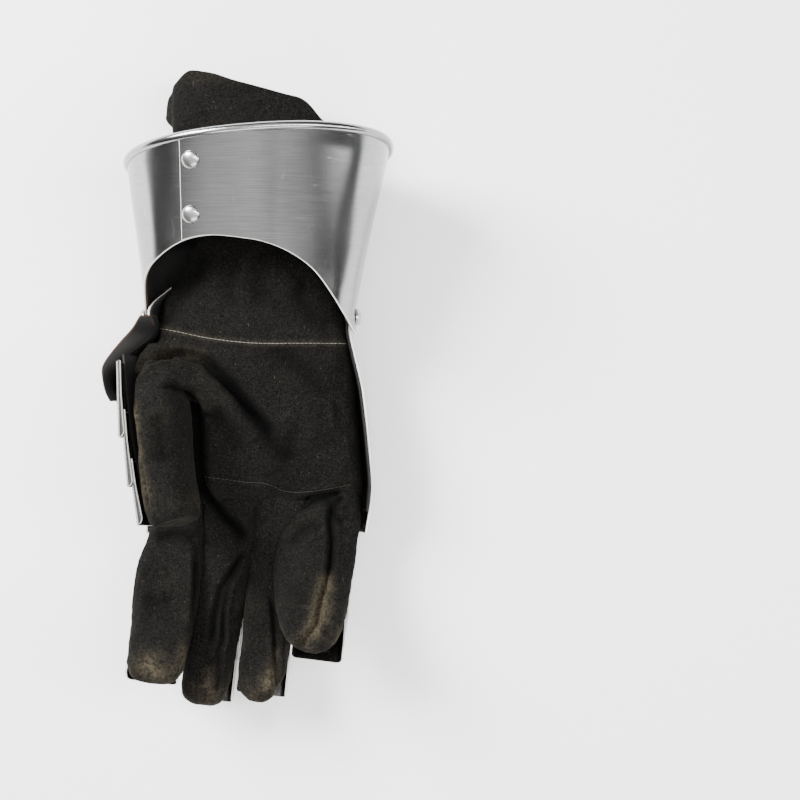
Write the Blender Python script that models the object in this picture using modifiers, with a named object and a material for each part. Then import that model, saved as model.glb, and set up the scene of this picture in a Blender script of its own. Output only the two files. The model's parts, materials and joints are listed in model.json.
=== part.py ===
"""Plate gauntlet with a suede glove inside, lying on its back with the palm up.

Metres. +Y runs from the fingertips to the cuff, +X to the little finger, +Z out of the palm.
Sizes are written in millimetres and multiplied by MM where they reach Blender.
"""

import math

import bmesh
import bpy
from mathutils import Matrix, Vector

MM = 0.001
GAP = 0.35  # clearance between neighbouring solids
SHIFT = (1.02, -1.863, 0.0)  # moves the whole part so that its bounding box sits over the origin

# Sheet steel and leather
CUFF_SHEET = 1.2
HAND_SHEET = 1.2
LAME_SHEET = 1.0
STRAP = 1.4
SUEDE = 2.2

# Wrist pivot
WRIST_Y = 42.6
WRIST_Z = 50.0
WRIST_SHANK = 2.2

# Cuff: an hourglass sheet wrapped round the arm and riveted on the palm side
CUFF_WRIST_Y = 47.0
CUFF_RIM_Y = 134.2
CUFF_RIM_SLOPE = 0.074  # the rim is higher on the little finger's side
CUFF_RIM_LEAN = 0.14  # and higher on the palm side
CUFF_WIDTHS = (61.5, 75.5)  # half widths at wrist and rim
CUFF_DEPTHS = (40.0, 59.5)  # half depths at wrist and rim
CUFF_CENTRES = (50.0, 60.3)  # heights of the section's centre
CUFF_RIM_OFFSET = 5.0
CUFF_EDGE = (  # degrees round the wrist from the little finger's side, and the lower edge there
    (-8, 33.5), (0, 33.0), (10, 34.5), (20, 38.5), (42, 53.0), (62, 69.5), (82, 81.0), (100, 85.5),
    (116, 83.5), (134, 76.0), (160, 62.5), (176, 46.0), (188, 37.0), (204, 39.5), (225, 44.0), (315, 44.0),
    (336, 38.5), (352, 33.5), (360, 33.0),
)
FLAP_START, FLAP_END = 103.0, 118.0  # where the sheet's inner and outer ends lie on the palm side
FLAP_LIFT = CUFF_SHEET + GAP
RIM_BEAD = 2.4

# Hand plate
HAND_LEFT = (
    (-86, -65.0), (-57, -65.0), (-30, -68.0), (-10, -79.0), (8, -85.5), (22, -73.0), (34, -58.6),
    (48, -58.6), (62, -47.0),
)
HAND_RIGHT = ((-86, 67.8), (-60, 71.5), (-40, 70.5), (0, 66.0), (20, 61.5), (34, 58.6), (48, 58.6), (62, 47.0))
HAND_LEFT_TOP = (
    (-86, 26.0), (-57, 30.0), (-30, 34.0), (-10, 40.0), (8, 47.0), (22, 47.0), (34, 50.0), (42, 59.0),
    (50, 56.0), (62, 38.0),
)
HAND_RIGHT_TOP = (
    (-86, 33.0), (-57, 44.0), (-30, 46.0), (28, 46.0), (34, 50.0), (42, 59.0), (50, 56.0), (62, 38.0),
)
HAND_BOTTOM = (
    (-86, 2.6), (-63, 2.6), (-56, -0.6), (-48, -1.6), (-4, -1.6), (8, 0.5), (22, 6.0), (36, 13.8),
    (48, 16.5), (62, 20.5),
)
HAND_POWER = ((-30, 3.6), (30, 3.0), (46, 3.0), (62, 2.3))  # how square its section is

# Fingers: knuckle (x, y), height of the plate's back there, three lengths, three rest angles
FINGERS = {
    "index": ((-46.5, -77.0), 9.5, (36.0, 29.0, 29.0), (10, 12, 15)),
    "middle": ((-15.0, -80.0), 4.8, (40.0, 32.0, 31.0), (2, 8, 11)),
    "ring": ((16.8, -79.0), 4.8, (39.0, 31.0, 31.0), (2, 8, 11)),
    "little": ((48.8, -76.0), 9.5, (31.0, 26.0, 28.0), (15, 18, 19)),
}
FINGER_LEAN = 7.0
SEGMENTS = ("base", "mid", "tip")
LAME_AXIS = 16.0  # joint axis above the back of a plate's free end
LAME_STEP = 2.6  # a plate's tucked end sits this much further in than its free end
LAME_TUCK, LAME_OVERHANG = 4.0, 9.0
LAME_HALF = (13.9, 15.4)  # half widths of the tucked end and of the free end
LAME_WALL = 11.5
LAME_CORNER = 4.0
FINGER_HALF_WIDTH, FINGER_HALF_DEPTH = 13.6, 10.3
FINGER_ROUND, FINGER_END = 8.0, 2.5
STRAP_HALF = 7.0

# Thumb
THUMB_ROOT = (-56.0, 14.0, 61.0)
THUMB_BACK = 30.0  # degrees its back is turned down from facing sideways
THUMB_LEAN, THUMB_RISE = 7.0, 9.0
THUMB_LENGTHS = (28.0, 28.0, 33.0)
THUMB_REST = (0, 4, 5)
THUMB_SCALE = 1.132  # thumb plates against finger plates
THUMB_HALF = (15.4, 12.5)

# Glove: section knots as (y, left, right, bottom, top)
PALM = (
    (54.0, -46.0, 45.0, 27.0, 68.0), (42.0, -48.0, 48.0, 21.0, 67.0), (28.0, -50.0, 52.0, 15.0, 62.0),
    (12.0, -47.0, 57.0, 8.0, 56.0), (-4.0, -44.0, 60.0, 4.0, 51.0), (-22.0, -46.0, 63.0, 4.5, 48.0),
    (-48.0, -49.0, 63.0, 9.5, 46.0), (-56.5, -51.0, 63.0, 15.6, 44.0), (-64.0, -53.0, 61.0, 15.8, 41.0),
    (-70.0, -48.0, 56.0, 18.5, 35.0),
)
SLEEVE = (
    (66.0, -47.0, 45.0, 25.0, 68.0), (90.0, -47.0, 44.0, 22.0, 62.0), (115.0, -47.0, 42.0, 20.0, 56.0),
    (140.0, -48.0, 41.0, 19.0, 51.0), (162.0, -48.0, 41.0, 19.0, 48.0), (181.0, -47.0, 40.0, 20.0, 46.0),
)
SLEEVE_SLANT = -0.23  # its mouth slopes down towards the little finger's side

RIVET_HEAD, RIVET_RISE, RIVET_SHANK, RIVET_HOLE = 3.6, 1.5, 1.5, 1.9
SEAM_HEAD, SEAM_RISE = 5.2, 2.2


def clear_scene():
    for thing in list(bpy.data.objects):
        bpy.data.objects.remove(thing, do_unlink=True)


def new_collection(name):
    made = bpy.data.collections.new(name)
    bpy.context.scene.collection.children.link(made)
    return made


def finish(name, colour, roughness, metallic):
    made = bpy.data.materials.new(name)
    made.use_nodes = True
    shader = made.node_tree.nodes["Principled BSDF"]
    shader.inputs["Base Color"].default_value = (*colour, 1.0)
    shader.inputs["Roughness"].default_value = roughness
    shader.inputs["Metallic"].default_value = metallic
    made.diffuse_color = (*colour, 1.0)
    return made


def add(name, mesh, material, parent=None, where=None):
    thing = bpy.data.objects.new(name, mesh)
    look = material.copy()
    look.name = f"{name}_look"
    mesh.materials.append(look)
    thing.parent = parent
    if where is not None:
        thing.matrix_basis = where
    elif parent is None:
        thing.location = Vector(SHIFT) * MM
    PART.objects.link(thing)
    return thing


def curve(knots, at, column=1):
    """A smooth value through rising knots, held level past both ends."""
    xs = [knot[0] for knot in knots]
    vs = [knot[column] for knot in knots]
    if at <= xs[0]:
        return vs[0]
    if at >= xs[-1]:
        return vs[-1]
    i = max(j for j in range(len(xs) - 1) if xs[j] <= at)

    def slope(j):
        low, high = max(j - 1, 0), min(j + 1, len(xs) - 1)
        return (vs[high] - vs[low]) / (xs[high] - xs[low])

    span = xs[i + 1] - xs[i]
    t = (at - xs[i]) / span
    rise = vs[i + 1] - vs[i]
    a, b = slope(i) * span, slope(i + 1) * span
    return vs[i] + t * a + t * t * (3 * rise - 2 * a - b) + t * t * t * (a + b - 2 * rise)


def superellipse(turn, half_x, half_z, power):
    c, s = math.cos(turn), math.sin(turn)
    return (
        math.copysign(abs(c) ** (2 / power), c) * half_x,
        math.copysign(abs(s) ** (2 / power), s) * half_z,
    )


def mesh_from(name, points, faces):
    mesh = bpy.data.meshes.new(name)
    mesh.from_pydata([Vector(p) * MM for p in points], [], faces)
    mesh.update()
    return mesh


def grid_faces(rows, columns, ring=False):
    faces = []
    for r in range(rows - 1):
        for c in range(columns if ring else columns - 1):
            d = (c + 1) % columns
            faces.append((r * columns + c, r * columns + d, (r + 1) * columns + d, (r + 1) * columns + c))
    return faces


def sheet(name, rows, thickness, material, inside, ring=False, cap=False, parent=None):
    """A sheet through rows of points. Its thickness goes towards the point called inside."""
    columns = len(rows[0])
    points = [p for row in rows for p in row]
    faces = grid_faces(len(rows), columns, ring)
    if cap:
        last = len(points) - columns
        points.append(sum((Vector(p) for p in rows[-1]), Vector()) / columns)
        faces += [(last + c, last + (c + 1) % columns, len(points) - 1) for c in range(columns)]
    mesh = mesh_from(name, points, faces)
    facing = sum((f.center - Vector(inside) * MM).normalized().dot(f.normal) * f.area for f in mesh.polygons)
    if facing < 0:
        mesh.flip_normals()
    thing = add(name, mesh, material, parent)
    shell = thing.modifiers.new("thickness", "SOLIDIFY")
    shell.thickness = thickness * MM
    shell.offset = -1.0
    shell.use_even_offset = True
    return thing


def loft(name, rings, material, parent=None):
    """A closed solid through rings of points, with a point at each end."""
    columns = len(rings[0])
    points = [p for ring in rings for p in ring]
    faces = grid_faces(len(rings), columns, ring=True)
    for ring, first in ((rings[0], 0), (rings[-1], len(points) - columns)):
        points.append(sum((Vector(p) for p in ring), Vector()) / columns)
        tip = len(points) - 1
        faces += [(first + c, first + (c + 1) % columns, tip) for c in range(columns)]
    mesh = mesh_from(name, points, faces)
    work = bmesh.new()
    work.from_mesh(mesh)
    bmesh.ops.recalc_face_normals(work, faces=work.faces)
    work.to_mesh(mesh)
    work.free()
    return add(name, mesh, material, parent)


def rivet(name, at, outward, head, rise, shank, depth, material, parent=None, steps=10):
    """A domed rivet: at is the underside of its head, and the shank runs depth back from there."""
    profile = [(0.0, rise), (head * 0.5, rise * 0.86), (head * 0.85, rise * 0.5), (head, 0.0)]
    profile += [(shank, 0.0), (shank, -depth), (0.0, -depth)]
    mesh = bpy.data.meshes.new(name)
    points = [Vector((r, 0, z)) * MM for r, z in profile]
    mesh.from_pydata(points, [(i, i + 1) for i in range(len(points) - 1)], [])
    turn = Vector(outward).to_track_quat("Z", "Y").to_matrix().to_4x4()
    shift = Vector((0, 0, 0)) if parent else Vector(SHIFT) * MM
    thing = add(name, mesh, material, parent, Matrix.Translation(Vector(at) * MM + shift) @ turn)
    screw = thing.modifiers.new("turn", "SCREW")
    screw.axis = "Z"
    screw.steps = screw.render_steps = steps
    screw.use_merge_vertices = True
    screw.merge_threshold = 0.00001
    return thing


def drill(target, holes, parent=None):
    """Cuts round holes, given as (centre, direction, radius, length), with one cutter."""
    mesh = bpy.data.meshes.new(f"{target.name}_holes")
    work = bmesh.new()
    for centre, along, radius, length in holes:
        turn = Vector(along).to_track_quat("Z", "Y").to_matrix().to_4x4()
        bmesh.ops.create_cone(
            work, cap_ends=True, segments=12, radius1=radius * MM, radius2=radius * MM,
            depth=length * MM, matrix=Matrix.Translation(Vector(centre) * MM) @ turn,
        )
    work.to_mesh(mesh)
    work.free()
    cutter = bpy.data.objects.new(f"{target.name}_holes", mesh)
    cutter.parent = parent
    if parent is None:
        cutter.location = Vector(SHIFT) * MM
    cutter.display_type = "WIRE"
    cutter.hide_render = True
    CUTTERS.objects.link(cutter)
    cut = target.modifiers.new("holes", "BOOLEAN")
    cut.operation = "DIFFERENCE"
    cut.solver = "EXACT"
    cut.object = cutter


def axis_empty(name, parent, matrix):
    """An empty on a joint's axis, its X along the axis and its -Y towards the fingertip."""
    made = bpy.data.objects.new(name, None)
    made.empty_display_size = 0.01
    made.parent = parent
    made.matrix_basis = matrix
    PART.objects.link(made)
    return made


def cuff_point(turn, y, lift=0.0):
    """A point of the cuff's outer face: degrees round from the little finger's side, and y."""
    s = min(max((y - CUFF_WRIST_Y) / (CUFF_RIM_Y - CUFF_WRIST_Y), 0.0), 1.15)
    flare = s ** 1.15
    half_x = CUFF_WIDTHS[0] + (CUFF_WIDTHS[1] - CUFF_WIDTHS[0]) * flare + lift
    half_z = CUFF_DEPTHS[0] + (CUFF_DEPTHS[1] - CUFF_DEPTHS[0]) * flare + lift
    x, z = superellipse(math.radians(turn), half_x, half_z, 2.6 - 0.4 * min(s, 1))
    centre = CUFF_CENTRES[0] + (CUFF_CENTRES[1] - CUFF_CENTRES[0]) * s
    return Vector((CUFF_RIM_OFFSET * s + x, y, centre + z))


def rim_y(turn):
    near = cuff_point(turn, CUFF_RIM_Y)
    return CUFF_RIM_Y + (near.x - CUFF_RIM_OFFSET) * CUFF_RIM_SLOPE + (near.z - CUFF_CENTRES[1]) * CUFF_RIM_LEAN


def cuff_normal(turn, y):
    across = cuff_point(turn + 0.5, y) - cuff_point(turn - 0.5, y)
    along = cuff_point(turn, y + 0.5) - cuff_point(turn, y - 0.5)
    normal = across.cross(along).normalized()
    outward = cuff_point(turn, y) - Vector((0, y, CUFF_CENTRES[0]))
    return normal if normal.dot(outward) > 0 else -normal


def build_cuff(steel):
    turns, sweep = [], 360 + FLAP_END - FLAP_START
    columns = 50
    for i in range(columns):
        turns.append(FLAP_START + sweep * i / (columns - 1))
    rows = []
    for v in (0.0, 0.15, 0.38, 0.6, 0.8, 1.0):
        row = []
        for turn in turns:
            lift = FLAP_LIFT * min(max((turn - 440.0) / 15.0, 0.0), 1.0)
            low = curve(CUFF_EDGE, turn % 360.0)
            high = rim_y(turn) - RIM_BEAD - GAP
            row.append(cuff_point(turn, low + (high - low) * v, lift))
        rows.append(row)
    shell = sheet("cuff_shell", rows, CUFF_SHEET, steel, (0, 90, 55))
    pivots = [((x, WRIST_Y, WRIST_Z), (1, 0, 0), WRIST_SHANK + 0.4, 12) for x in (-60.5, 60.5)]
    seam = []
    for y in (126.0, 97.0):
        at = cuff_point(112.5, y, FLAP_LIFT)
        seam.append((at, cuff_normal(112.5, y)))
    drill(shell, pivots + [(at, normal, RIVET_HOLE + 0.3, 16) for at, normal in seam])

    bead = bpy.data.curves.new("cuff_rim_bead", "CURVE")
    bead.dimensions = "3D"
    bead.bevel_depth = RIM_BEAD * MM
    bead.bevel_resolution = 1
    line = bead.splines.new("POLY")
    steps = 52
    line.points.add(steps - 1)
    for i in range(steps):
        turn = 360.0 * i / steps
        centre = cuff_point(turn, rim_y(turn), -CUFF_SHEET / 2)
        line.points[i].co = (*(centre * MM), 1.0)
    line.use_cyclic_u = True
    add("cuff_rim_bead", bead, steel)

    for (at, normal), name in zip(seam, ("upper", "lower")):
        rivet(f"cuff_seam_rivet_{name}", at + normal * GAP, normal, SEAM_HEAD, SEAM_RISE,
              RIVET_SHANK + 0.3, 4.2, steel, steps=16)
    for x, name in ((-1, "thumb_side"), (1, "little_side")):
        rivet(f"wrist_pivot_rivet_{name}", (x * (61.5 + GAP), WRIST_Y, WRIST_Z), (x, 0, 0), 5.0, 2.8,
              WRIST_SHANK, 6.5, steel, steps=14)


def hand_row(y, columns=27):
    """One section of the hand plate's outer face, from the thumb side round the back."""
    left, right = curve(HAND_LEFT, y), curve(HAND_RIGHT, y)
    top_left, top_right = curve(HAND_LEFT_TOP, y), curve(HAND_RIGHT_TOP, y)
    bottom = curve(HAND_BOTTOM, y)
    power = curve(HAND_POWER, y)
    row = []
    for i in range(columns):
        turn = math.pi * (1 + i / (columns - 1))
        c, s = math.cos(turn), math.sin(turn)
        share = math.copysign(abs(c) ** (2 / power), c)
        x = (left + right) / 2 + share * (right - left) / 2
        top = top_left + (top_right - top_left) * (share + 1) / 2
        z = top - (top - bottom) * abs(s) ** (2 / power)
        row.append(Vector((x, y, max(z, 0.0))))
    return row


def build_hand(steel):
    ys = (62, 56, 50, 46, 42.6, 38, 34, 28, 21, 14, 7, 0, -10, -24, -40, -50, -58, -65, -86)
    plate = sheet("hand_plate", [hand_row(y) for y in ys], HAND_SHEET, steel, (2, -5, 60), parent=HAND)
    holes = [((x, WRIST_Y, WRIST_Z), (1, 0, 0), WRIST_SHANK + 0.4, 12) for x in (-58, 58)]
    for name, (knuckle, height, _, _) in FINGERS.items():
        x, y = knuckle_rivet_xy(name)
        holes.append(((x, y, height), (0, 0, 1), RIVET_HOLE, 16))
    drill(plate, holes, HAND)


def knuckle_rivet_xy(name):
    (x, y), _, _, _ = FINGERS[name]
    back = 9.0
    return x + math.tan(math.radians(FINGER_LEAN)) * back, y + back


def strap_height(name):
    return FINGERS[name][1] + LAME_STEP + LAME_SHEET + GAP


def gutter(name, length, tuck, overhang, scale, axis, steel, parent, low_wall=1.0):
    """A trough-shaped plate along -Y: narrower and further in at its tucked end."""
    start, end, radius = -tuck, length + overhang, 3.0
    stations = [0.0, 0.35, 1.2, radius]
    stations = [start + d for d in stations] + [(start + end) / 2] + [end - d for d in reversed(stations)]
    rows = []
    for u in stations:
        share = (u - start) / (end - start)
        half = (LAME_HALF[0] + (LAME_HALF[1] - LAME_HALF[0]) * share) * scale
        base = -axis + LAME_STEP * (1 - share)
        near = min(u - start, end - u, radius)
        drop = radius - math.sqrt(max(radius ** 2 - (radius - near) ** 2, 0.0))
        lip = -axis + LAME_WALL - drop
        row = [(-half, lip + (LAME_WALL * (1 - low_wall))), (-half, base + LAME_CORNER)]
        if low_wall < 1.0:
            row[0] = (-half, max(base + LAME_CORNER + 0.8, lip - LAME_WALL * (1 - low_wall)))
        for i in (1, 2, 3):
            turn = math.radians(180 + 90 * i / 3)
            row.append((-half + LAME_CORNER + LAME_CORNER * math.cos(turn),
                        base + LAME_CORNER + LAME_CORNER * math.sin(turn)))
        row += [(-x, z) for x, z in reversed(row[1:])]
        row.append((half, lip))
        rows.append([Vector((x, -u, z)) for x, z in row])
    return sheet(name, rows, LAME_SHEET, steel, (0, -length / 2, 0), parent=parent)


def segment_rings(start, end, half_x, half_z, round_start, round_end, columns=14):
    """Rings of a rounded bolster along -Y."""
    rings = []
    steps = 4
    for i in range(1, steps + 1):
        share = math.sin(math.pi / 2 * i / steps)
        rings.append((start + round_start * (1 - math.cos(math.pi / 2 * i / steps)), share))
    for i in range(steps, 0, -1):
        share = math.sin(math.pi / 2 * i / steps)
        rings.append((end - round_end * (1 - math.cos(math.pi / 2 * i / steps)), share))
    made = []
    for u, share in rings:
        ring = []
        for c in range(columns):
            x, z = superellipse(2 * math.pi * c / columns, half_x * share, half_z * share, 2.15)
            ring.append(Vector((x, -u, z)))
        made.append(ring)
    return made


def build_digit(name, root, lengths, angles, scale, axis, half_x, half_z, steel, suede, overhang):
    """Three hinged lengths: each has a plate, a rivet and a stuffed length of glove."""
    parent, reach = HAND, root
    places = []
    for part, length, angle in zip(SEGMENTS, lengths, angles):
        bend = Matrix.Rotation(-math.radians(angle), 4, "X")
        joint = axis_empty(f"{name}_{part}_axis", parent, reach @ bend)
        last = part == "tip"
        low_wall = 0.55 if name == "thumb" else 1.0
        plate = gutter(f"{name}_plate_{part}", length, LAME_TUCK, 0.5 if last else overhang, scale, axis,
                       steel, joint, low_wall)
        whole = length + LAME_TUCK + (0.5 if last else overhang)
        at = overhang + 5.2
        base = -axis + LAME_STEP * (1 - (at + LAME_TUCK) / whole)
        inner = -axis + LAME_STEP + LAME_SHEET + GAP + STRAP - 0.1
        drill(plate, [((0, -at, base), (0, 0, 1), RIVET_HOLE, 8)], joint)
        rivet(f"{name}_rivet_{part}", (0, -at, base - GAP), (0, 0, -1), RIVET_HEAD, RIVET_RISE,
              RIVET_SHANK, inner - base + GAP, steel, joint)
        end = length if last else length - FINGER_END
        rings = segment_rings(FINGER_END, end, half_x, half_z, FINGER_ROUND, 11.0 if last else FINGER_ROUND)
        loft(f"glove_{name}_{part}", rings, suede, joint)
        places.append((joint, length, at))
        parent = joint
        reach = Matrix.Translation((0, -length * MM, 0))
    return places


def world_of(thing):
    matrix = thing.matrix_basis.copy()
    while thing.parent:
        thing = thing.parent
        matrix = thing.matrix_basis @ matrix
    return matrix


def strap_rows(places, axis, half):
    """Centre line of a strap through a digit's three lengths, as rows of three hand-space points."""
    level = (-axis + LAME_STEP + LAME_SHEET + GAP)
    rows = []
    hand = world_of(HAND).inverted()
    for k, (joint, length, _) in enumerate(places):
        frame = hand @ world_of(joint)
        stops = (4.0, length * 0.5, length - 4.0) if k < 2 else (4.0, length * 0.5, length - 9.0)
        for u in stops:
            rows.append([frame @ (Vector((x, -u, level)) * MM) / MM for x in (-half, 0, half)])
    return rows


def build_finger_strap(digits, leather):
    """One leather: a band across the hand with a tongue for each finger, riveted to every plate."""
    points, faces, holes = [], [], []
    tops, backs = [], []
    for name, places in digits.items():
        (x, y), height, _, _ = FINGERS[name]
        level = strap_height(name)
        lean = math.tan(math.radians(FINGER_LEAN))
        first = len(points)
        for back in (16.5, 12.0, 5.5):
            points += [Vector((x + lean * back + dx, y + back, level)) for dx in (-STRAP_HALF, 0, STRAP_HALF)]
        backs += [first, first + 1, first + 2]
        tops += [first + 3, first + 4, first + 5]
        rows = strap_rows(places, LAME_AXIS, STRAP_HALF)
        for row in rows:
            points += row
        for r in range(1, 2 + len(rows)):
            for c in (0, 1):
                at = first + r * 3 + c
                faces.append((at, at + 1, at + 4, at + 3))
        rx, ry = knuckle_rivet_xy(name)
        holes.append(((rx, ry, level), (0, 0, 1), RIVET_HOLE, 6))
        hand = world_of(HAND).inverted()
        for joint, _, at in places:
            frame = hand @ world_of(joint)
            centre = frame @ (Vector((0, -at, -LAME_AXIS + 4.6)) * MM) / MM
            holes.append((centre, frame.to_3x3() @ Vector((0, 0, 1)), RIVET_HOLE, 6))
    for a in range(len(backs) - 1):
        faces.append((backs[a], backs[a + 1], tops[a + 1], tops[a]))
    mesh = mesh_from("finger_leather", points, faces)
    work = bmesh.new()
    work.from_mesh(mesh)
    bmesh.ops.recalc_face_normals(work, faces=work.faces)
    work.to_mesh(mesh)
    work.free()
    if sum(f.normal.z * f.area for f in mesh.polygons) < 0:
        mesh.flip_normals()
    strap = add("finger_leather", mesh, leather, HAND)
    shell = strap.modifiers.new("thickness", "SOLIDIFY")
    shell.thickness = STRAP * MM
    shell.offset = 1.0
    shell.use_even_offset = True
    drill(strap, holes, HAND)


def build_thumb_strap(places, axis, leather):
    rows = strap_rows(places, axis, STRAP_HALF)
    frame = world_of(HAND).inverted() @ world_of(places[0][0])
    level = -axis + LAME_STEP + LAME_SHEET + GAP
    root = [frame @ (Vector((x, 9.0, level)) * MM) / MM for x in (-STRAP_HALF, 0, STRAP_HALF)]
    inside = frame @ (Vector((0, -200, -axis * 40)) * MM) / MM
    strap = sheet("thumb_leather", [root] + rows, STRAP, leather, inside, parent=HAND)
    strap.modifiers["thickness"].offset = 1.0
    holes = []
    for joint, _, at in places:
        joint_frame = world_of(HAND).inverted() @ world_of(joint)
        centre = joint_frame @ (Vector((0, -at, -axis + 4.6)) * MM) / MM
        holes.append((centre, joint_frame.to_3x3() @ Vector((0, 0, 1)), RIVET_HOLE, 6))
    drill(strap, holes, HAND)


def build_glove_bag(name, knots, slant, cap, suede, parent):
    """A hollow length of glove through (y, left, right, bottom, top) sections, open at its wrist end."""
    rows = []
    for knot in knots:
        y, left, right, bottom, top = knot
        middle_x, middle_z = (left + right) / 2, (bottom + top) / 2
        share = (y - knots[0][0]) / (knots[-1][0] - knots[0][0])
        row = []
        for c in range(24):
            x, z = superellipse(2 * math.pi * c / 24, (right - left) / 2, (top - bottom) / 2, 2.5)
            row.append(Vector((middle_x + x, y + slant * share * x, middle_z + z)))
        rows.append(row)
    middle = ((knots[0][1] + knots[0][2]) / 2, knots[len(knots) // 2][0], (knots[2][3] + knots[2][4]) / 2)
    return sheet(name, rows, SUEDE, suede, middle, ring=True, cap=cap, parent=parent)


clear_scene()
PART = new_collection("plate_gauntlet")
CUTTERS = new_collection("cutters")
STEEL = finish("steel", (0.62, 0.63, 0.64), 0.32, 1.0)
LEATHER = finish("leather", (0.16, 0.075, 0.045), 0.8, 0.0)
BLACK_SUEDE = finish("suede", (0.035, 0.033, 0.032), 0.95, 0.0)

build_cuff(STEEL)
# The hand turns about the wrist pivots, so its empty lies on their axis.
WRIST = Vector((0, WRIST_Y, WRIST_Z))
PIVOT = axis_empty("wrist_axis", None, Matrix.Translation((WRIST + Vector(SHIFT)) * MM))
HAND = axis_empty("hand_frame", PIVOT, Matrix.Translation(-WRIST * MM))
build_hand(STEEL)
digits = {}
for finger, ((fx, fy), plate_height, lengths, angles) in FINGERS.items():
    place = Matrix.Translation(Vector((fx, fy, plate_height + LAME_AXIS)) * MM)
    place = place @ Matrix.Rotation(-math.radians(FINGER_LEAN), 4, "Z")
    digits[finger] = build_digit(finger, place, lengths, angles, 1.0, LAME_AXIS, FINGER_HALF_WIDTH,
                                 FINGER_HALF_DEPTH, STEEL, BLACK_SUEDE, LAME_OVERHANG)
    rx, ry = knuckle_rivet_xy(finger)
    under = [p.z for dy in (-3, 0, 3) for p in hand_row(ry + dy, 201) if abs(p.x - rx) < 3.2]
    low = min(under)
    rivet(f"knuckle_rivet_{finger}", (rx, ry, low - GAP), (0, 0, -1), RIVET_HEAD - 0.6, RIVET_RISE, RIVET_SHANK,
          strap_height(finger) + STRAP - 0.1 - low + GAP, STEEL, HAND)
build_finger_strap(digits, LEATHER)

back = math.radians(THUMB_BACK)
away = Vector((math.sin(math.radians(THUMB_LEAN)), -math.cos(math.radians(THUMB_LEAN)),
               math.sin(math.radians(THUMB_RISE)))).normalized()
palm_side = Vector((math.cos(back), 0, math.sin(back)))
palm_side = (palm_side - away * palm_side.dot(away)).normalized()
hinge = (-away).cross(palm_side)
thumb_place = Matrix((hinge, -away, palm_side)).transposed().to_4x4()
thumb_place.translation = Vector(THUMB_ROOT) * MM
THUMB_AXIS = THUMB_HALF[1] + LAME_AXIS - FINGER_HALF_DEPTH
thumb = build_digit("thumb", thumb_place, THUMB_LENGTHS, THUMB_REST, THUMB_SCALE, THUMB_AXIS, *THUMB_HALF,
                    STEEL, BLACK_SUEDE, 12.0)
build_thumb_strap(thumb, THUMB_AXIS, LEATHER)

build_glove_bag("glove_palm", PALM, 0.0, True, BLACK_SUEDE, HAND)
build_glove_bag("glove_sleeve", SLEEVE, SLEEVE_SLANT, False, BLACK_SUEDE, None)
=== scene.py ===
"""Plate gauntlet with a suede glove inside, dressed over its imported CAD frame.

Shapes are written in millimetres, in the same design frame as the CAD source: +Y from the fingertips
to the cuff, +X to the little finger, +Z out of the palm. SHIFT moves them to the row frame.
"""

import json
import math

import bmesh
import bpy
import numpy as np
from mathutils import Matrix, Vector
from mathutils.bvhtree import BVHTree

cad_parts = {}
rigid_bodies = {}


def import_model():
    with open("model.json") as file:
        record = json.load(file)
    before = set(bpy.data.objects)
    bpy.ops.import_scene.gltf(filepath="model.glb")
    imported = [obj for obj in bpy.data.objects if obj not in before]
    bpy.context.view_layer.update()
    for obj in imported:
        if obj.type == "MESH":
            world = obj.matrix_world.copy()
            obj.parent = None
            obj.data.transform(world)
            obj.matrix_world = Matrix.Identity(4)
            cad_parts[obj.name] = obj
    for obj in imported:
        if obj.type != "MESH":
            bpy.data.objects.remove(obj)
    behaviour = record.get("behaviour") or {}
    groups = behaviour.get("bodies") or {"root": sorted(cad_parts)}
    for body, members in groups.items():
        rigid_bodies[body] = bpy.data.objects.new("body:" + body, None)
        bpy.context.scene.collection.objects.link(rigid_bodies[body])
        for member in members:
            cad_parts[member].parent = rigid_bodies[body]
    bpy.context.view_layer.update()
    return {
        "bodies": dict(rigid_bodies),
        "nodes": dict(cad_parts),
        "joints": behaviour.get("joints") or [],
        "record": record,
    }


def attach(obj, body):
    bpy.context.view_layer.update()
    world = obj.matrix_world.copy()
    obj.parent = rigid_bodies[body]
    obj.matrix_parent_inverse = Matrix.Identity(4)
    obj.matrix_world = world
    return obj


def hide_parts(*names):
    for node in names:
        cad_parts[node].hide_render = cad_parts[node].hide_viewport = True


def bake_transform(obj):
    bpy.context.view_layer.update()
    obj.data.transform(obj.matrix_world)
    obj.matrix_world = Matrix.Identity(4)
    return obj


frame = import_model()

MM = 0.001
SHIFT = Vector((1.02, -1.863, 0))

# Sheet steel and leather, as in the CAD source
CUFF_SHEET, HAND_SHEET, LAME_SHEET, STRAP = 1.2, 1.2, 1, 1.4
GAP = 0.35
LAME_EASE = 0.12  # how much thinner the finger plates are drawn, so that they slide clear of each other
WRIST_Y, WRIST_Z = 42.6, 50
CUFF_WRIST_Y, CUFF_RIM_Y = 47, 134.2
CUFF_RIM_SLOPE, CUFF_RIM_LEAN = 0.074, 0.14
CUFF_WIDTHS, CUFF_DEPTHS, CUFF_CENTRES = (61.5, 75.5), (40, 59.5), (50, 60.3)
CUFF_RIM_OFFSET = 5
CUFF_EDGE = (
    (-8, 33.5), (0, 33), (10, 34.5), (20, 38.5), (42, 53), (62, 69.5), (82, 81), (100, 85.5),
    (116, 83.5), (134, 76), (160, 62.5), (176, 46), (188, 37), (204, 39.5), (225, 44), (315, 44),
    (336, 38.5), (352, 33.5), (360, 33),
)
CUFF_INSIDE = (0, 90, 55)
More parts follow.
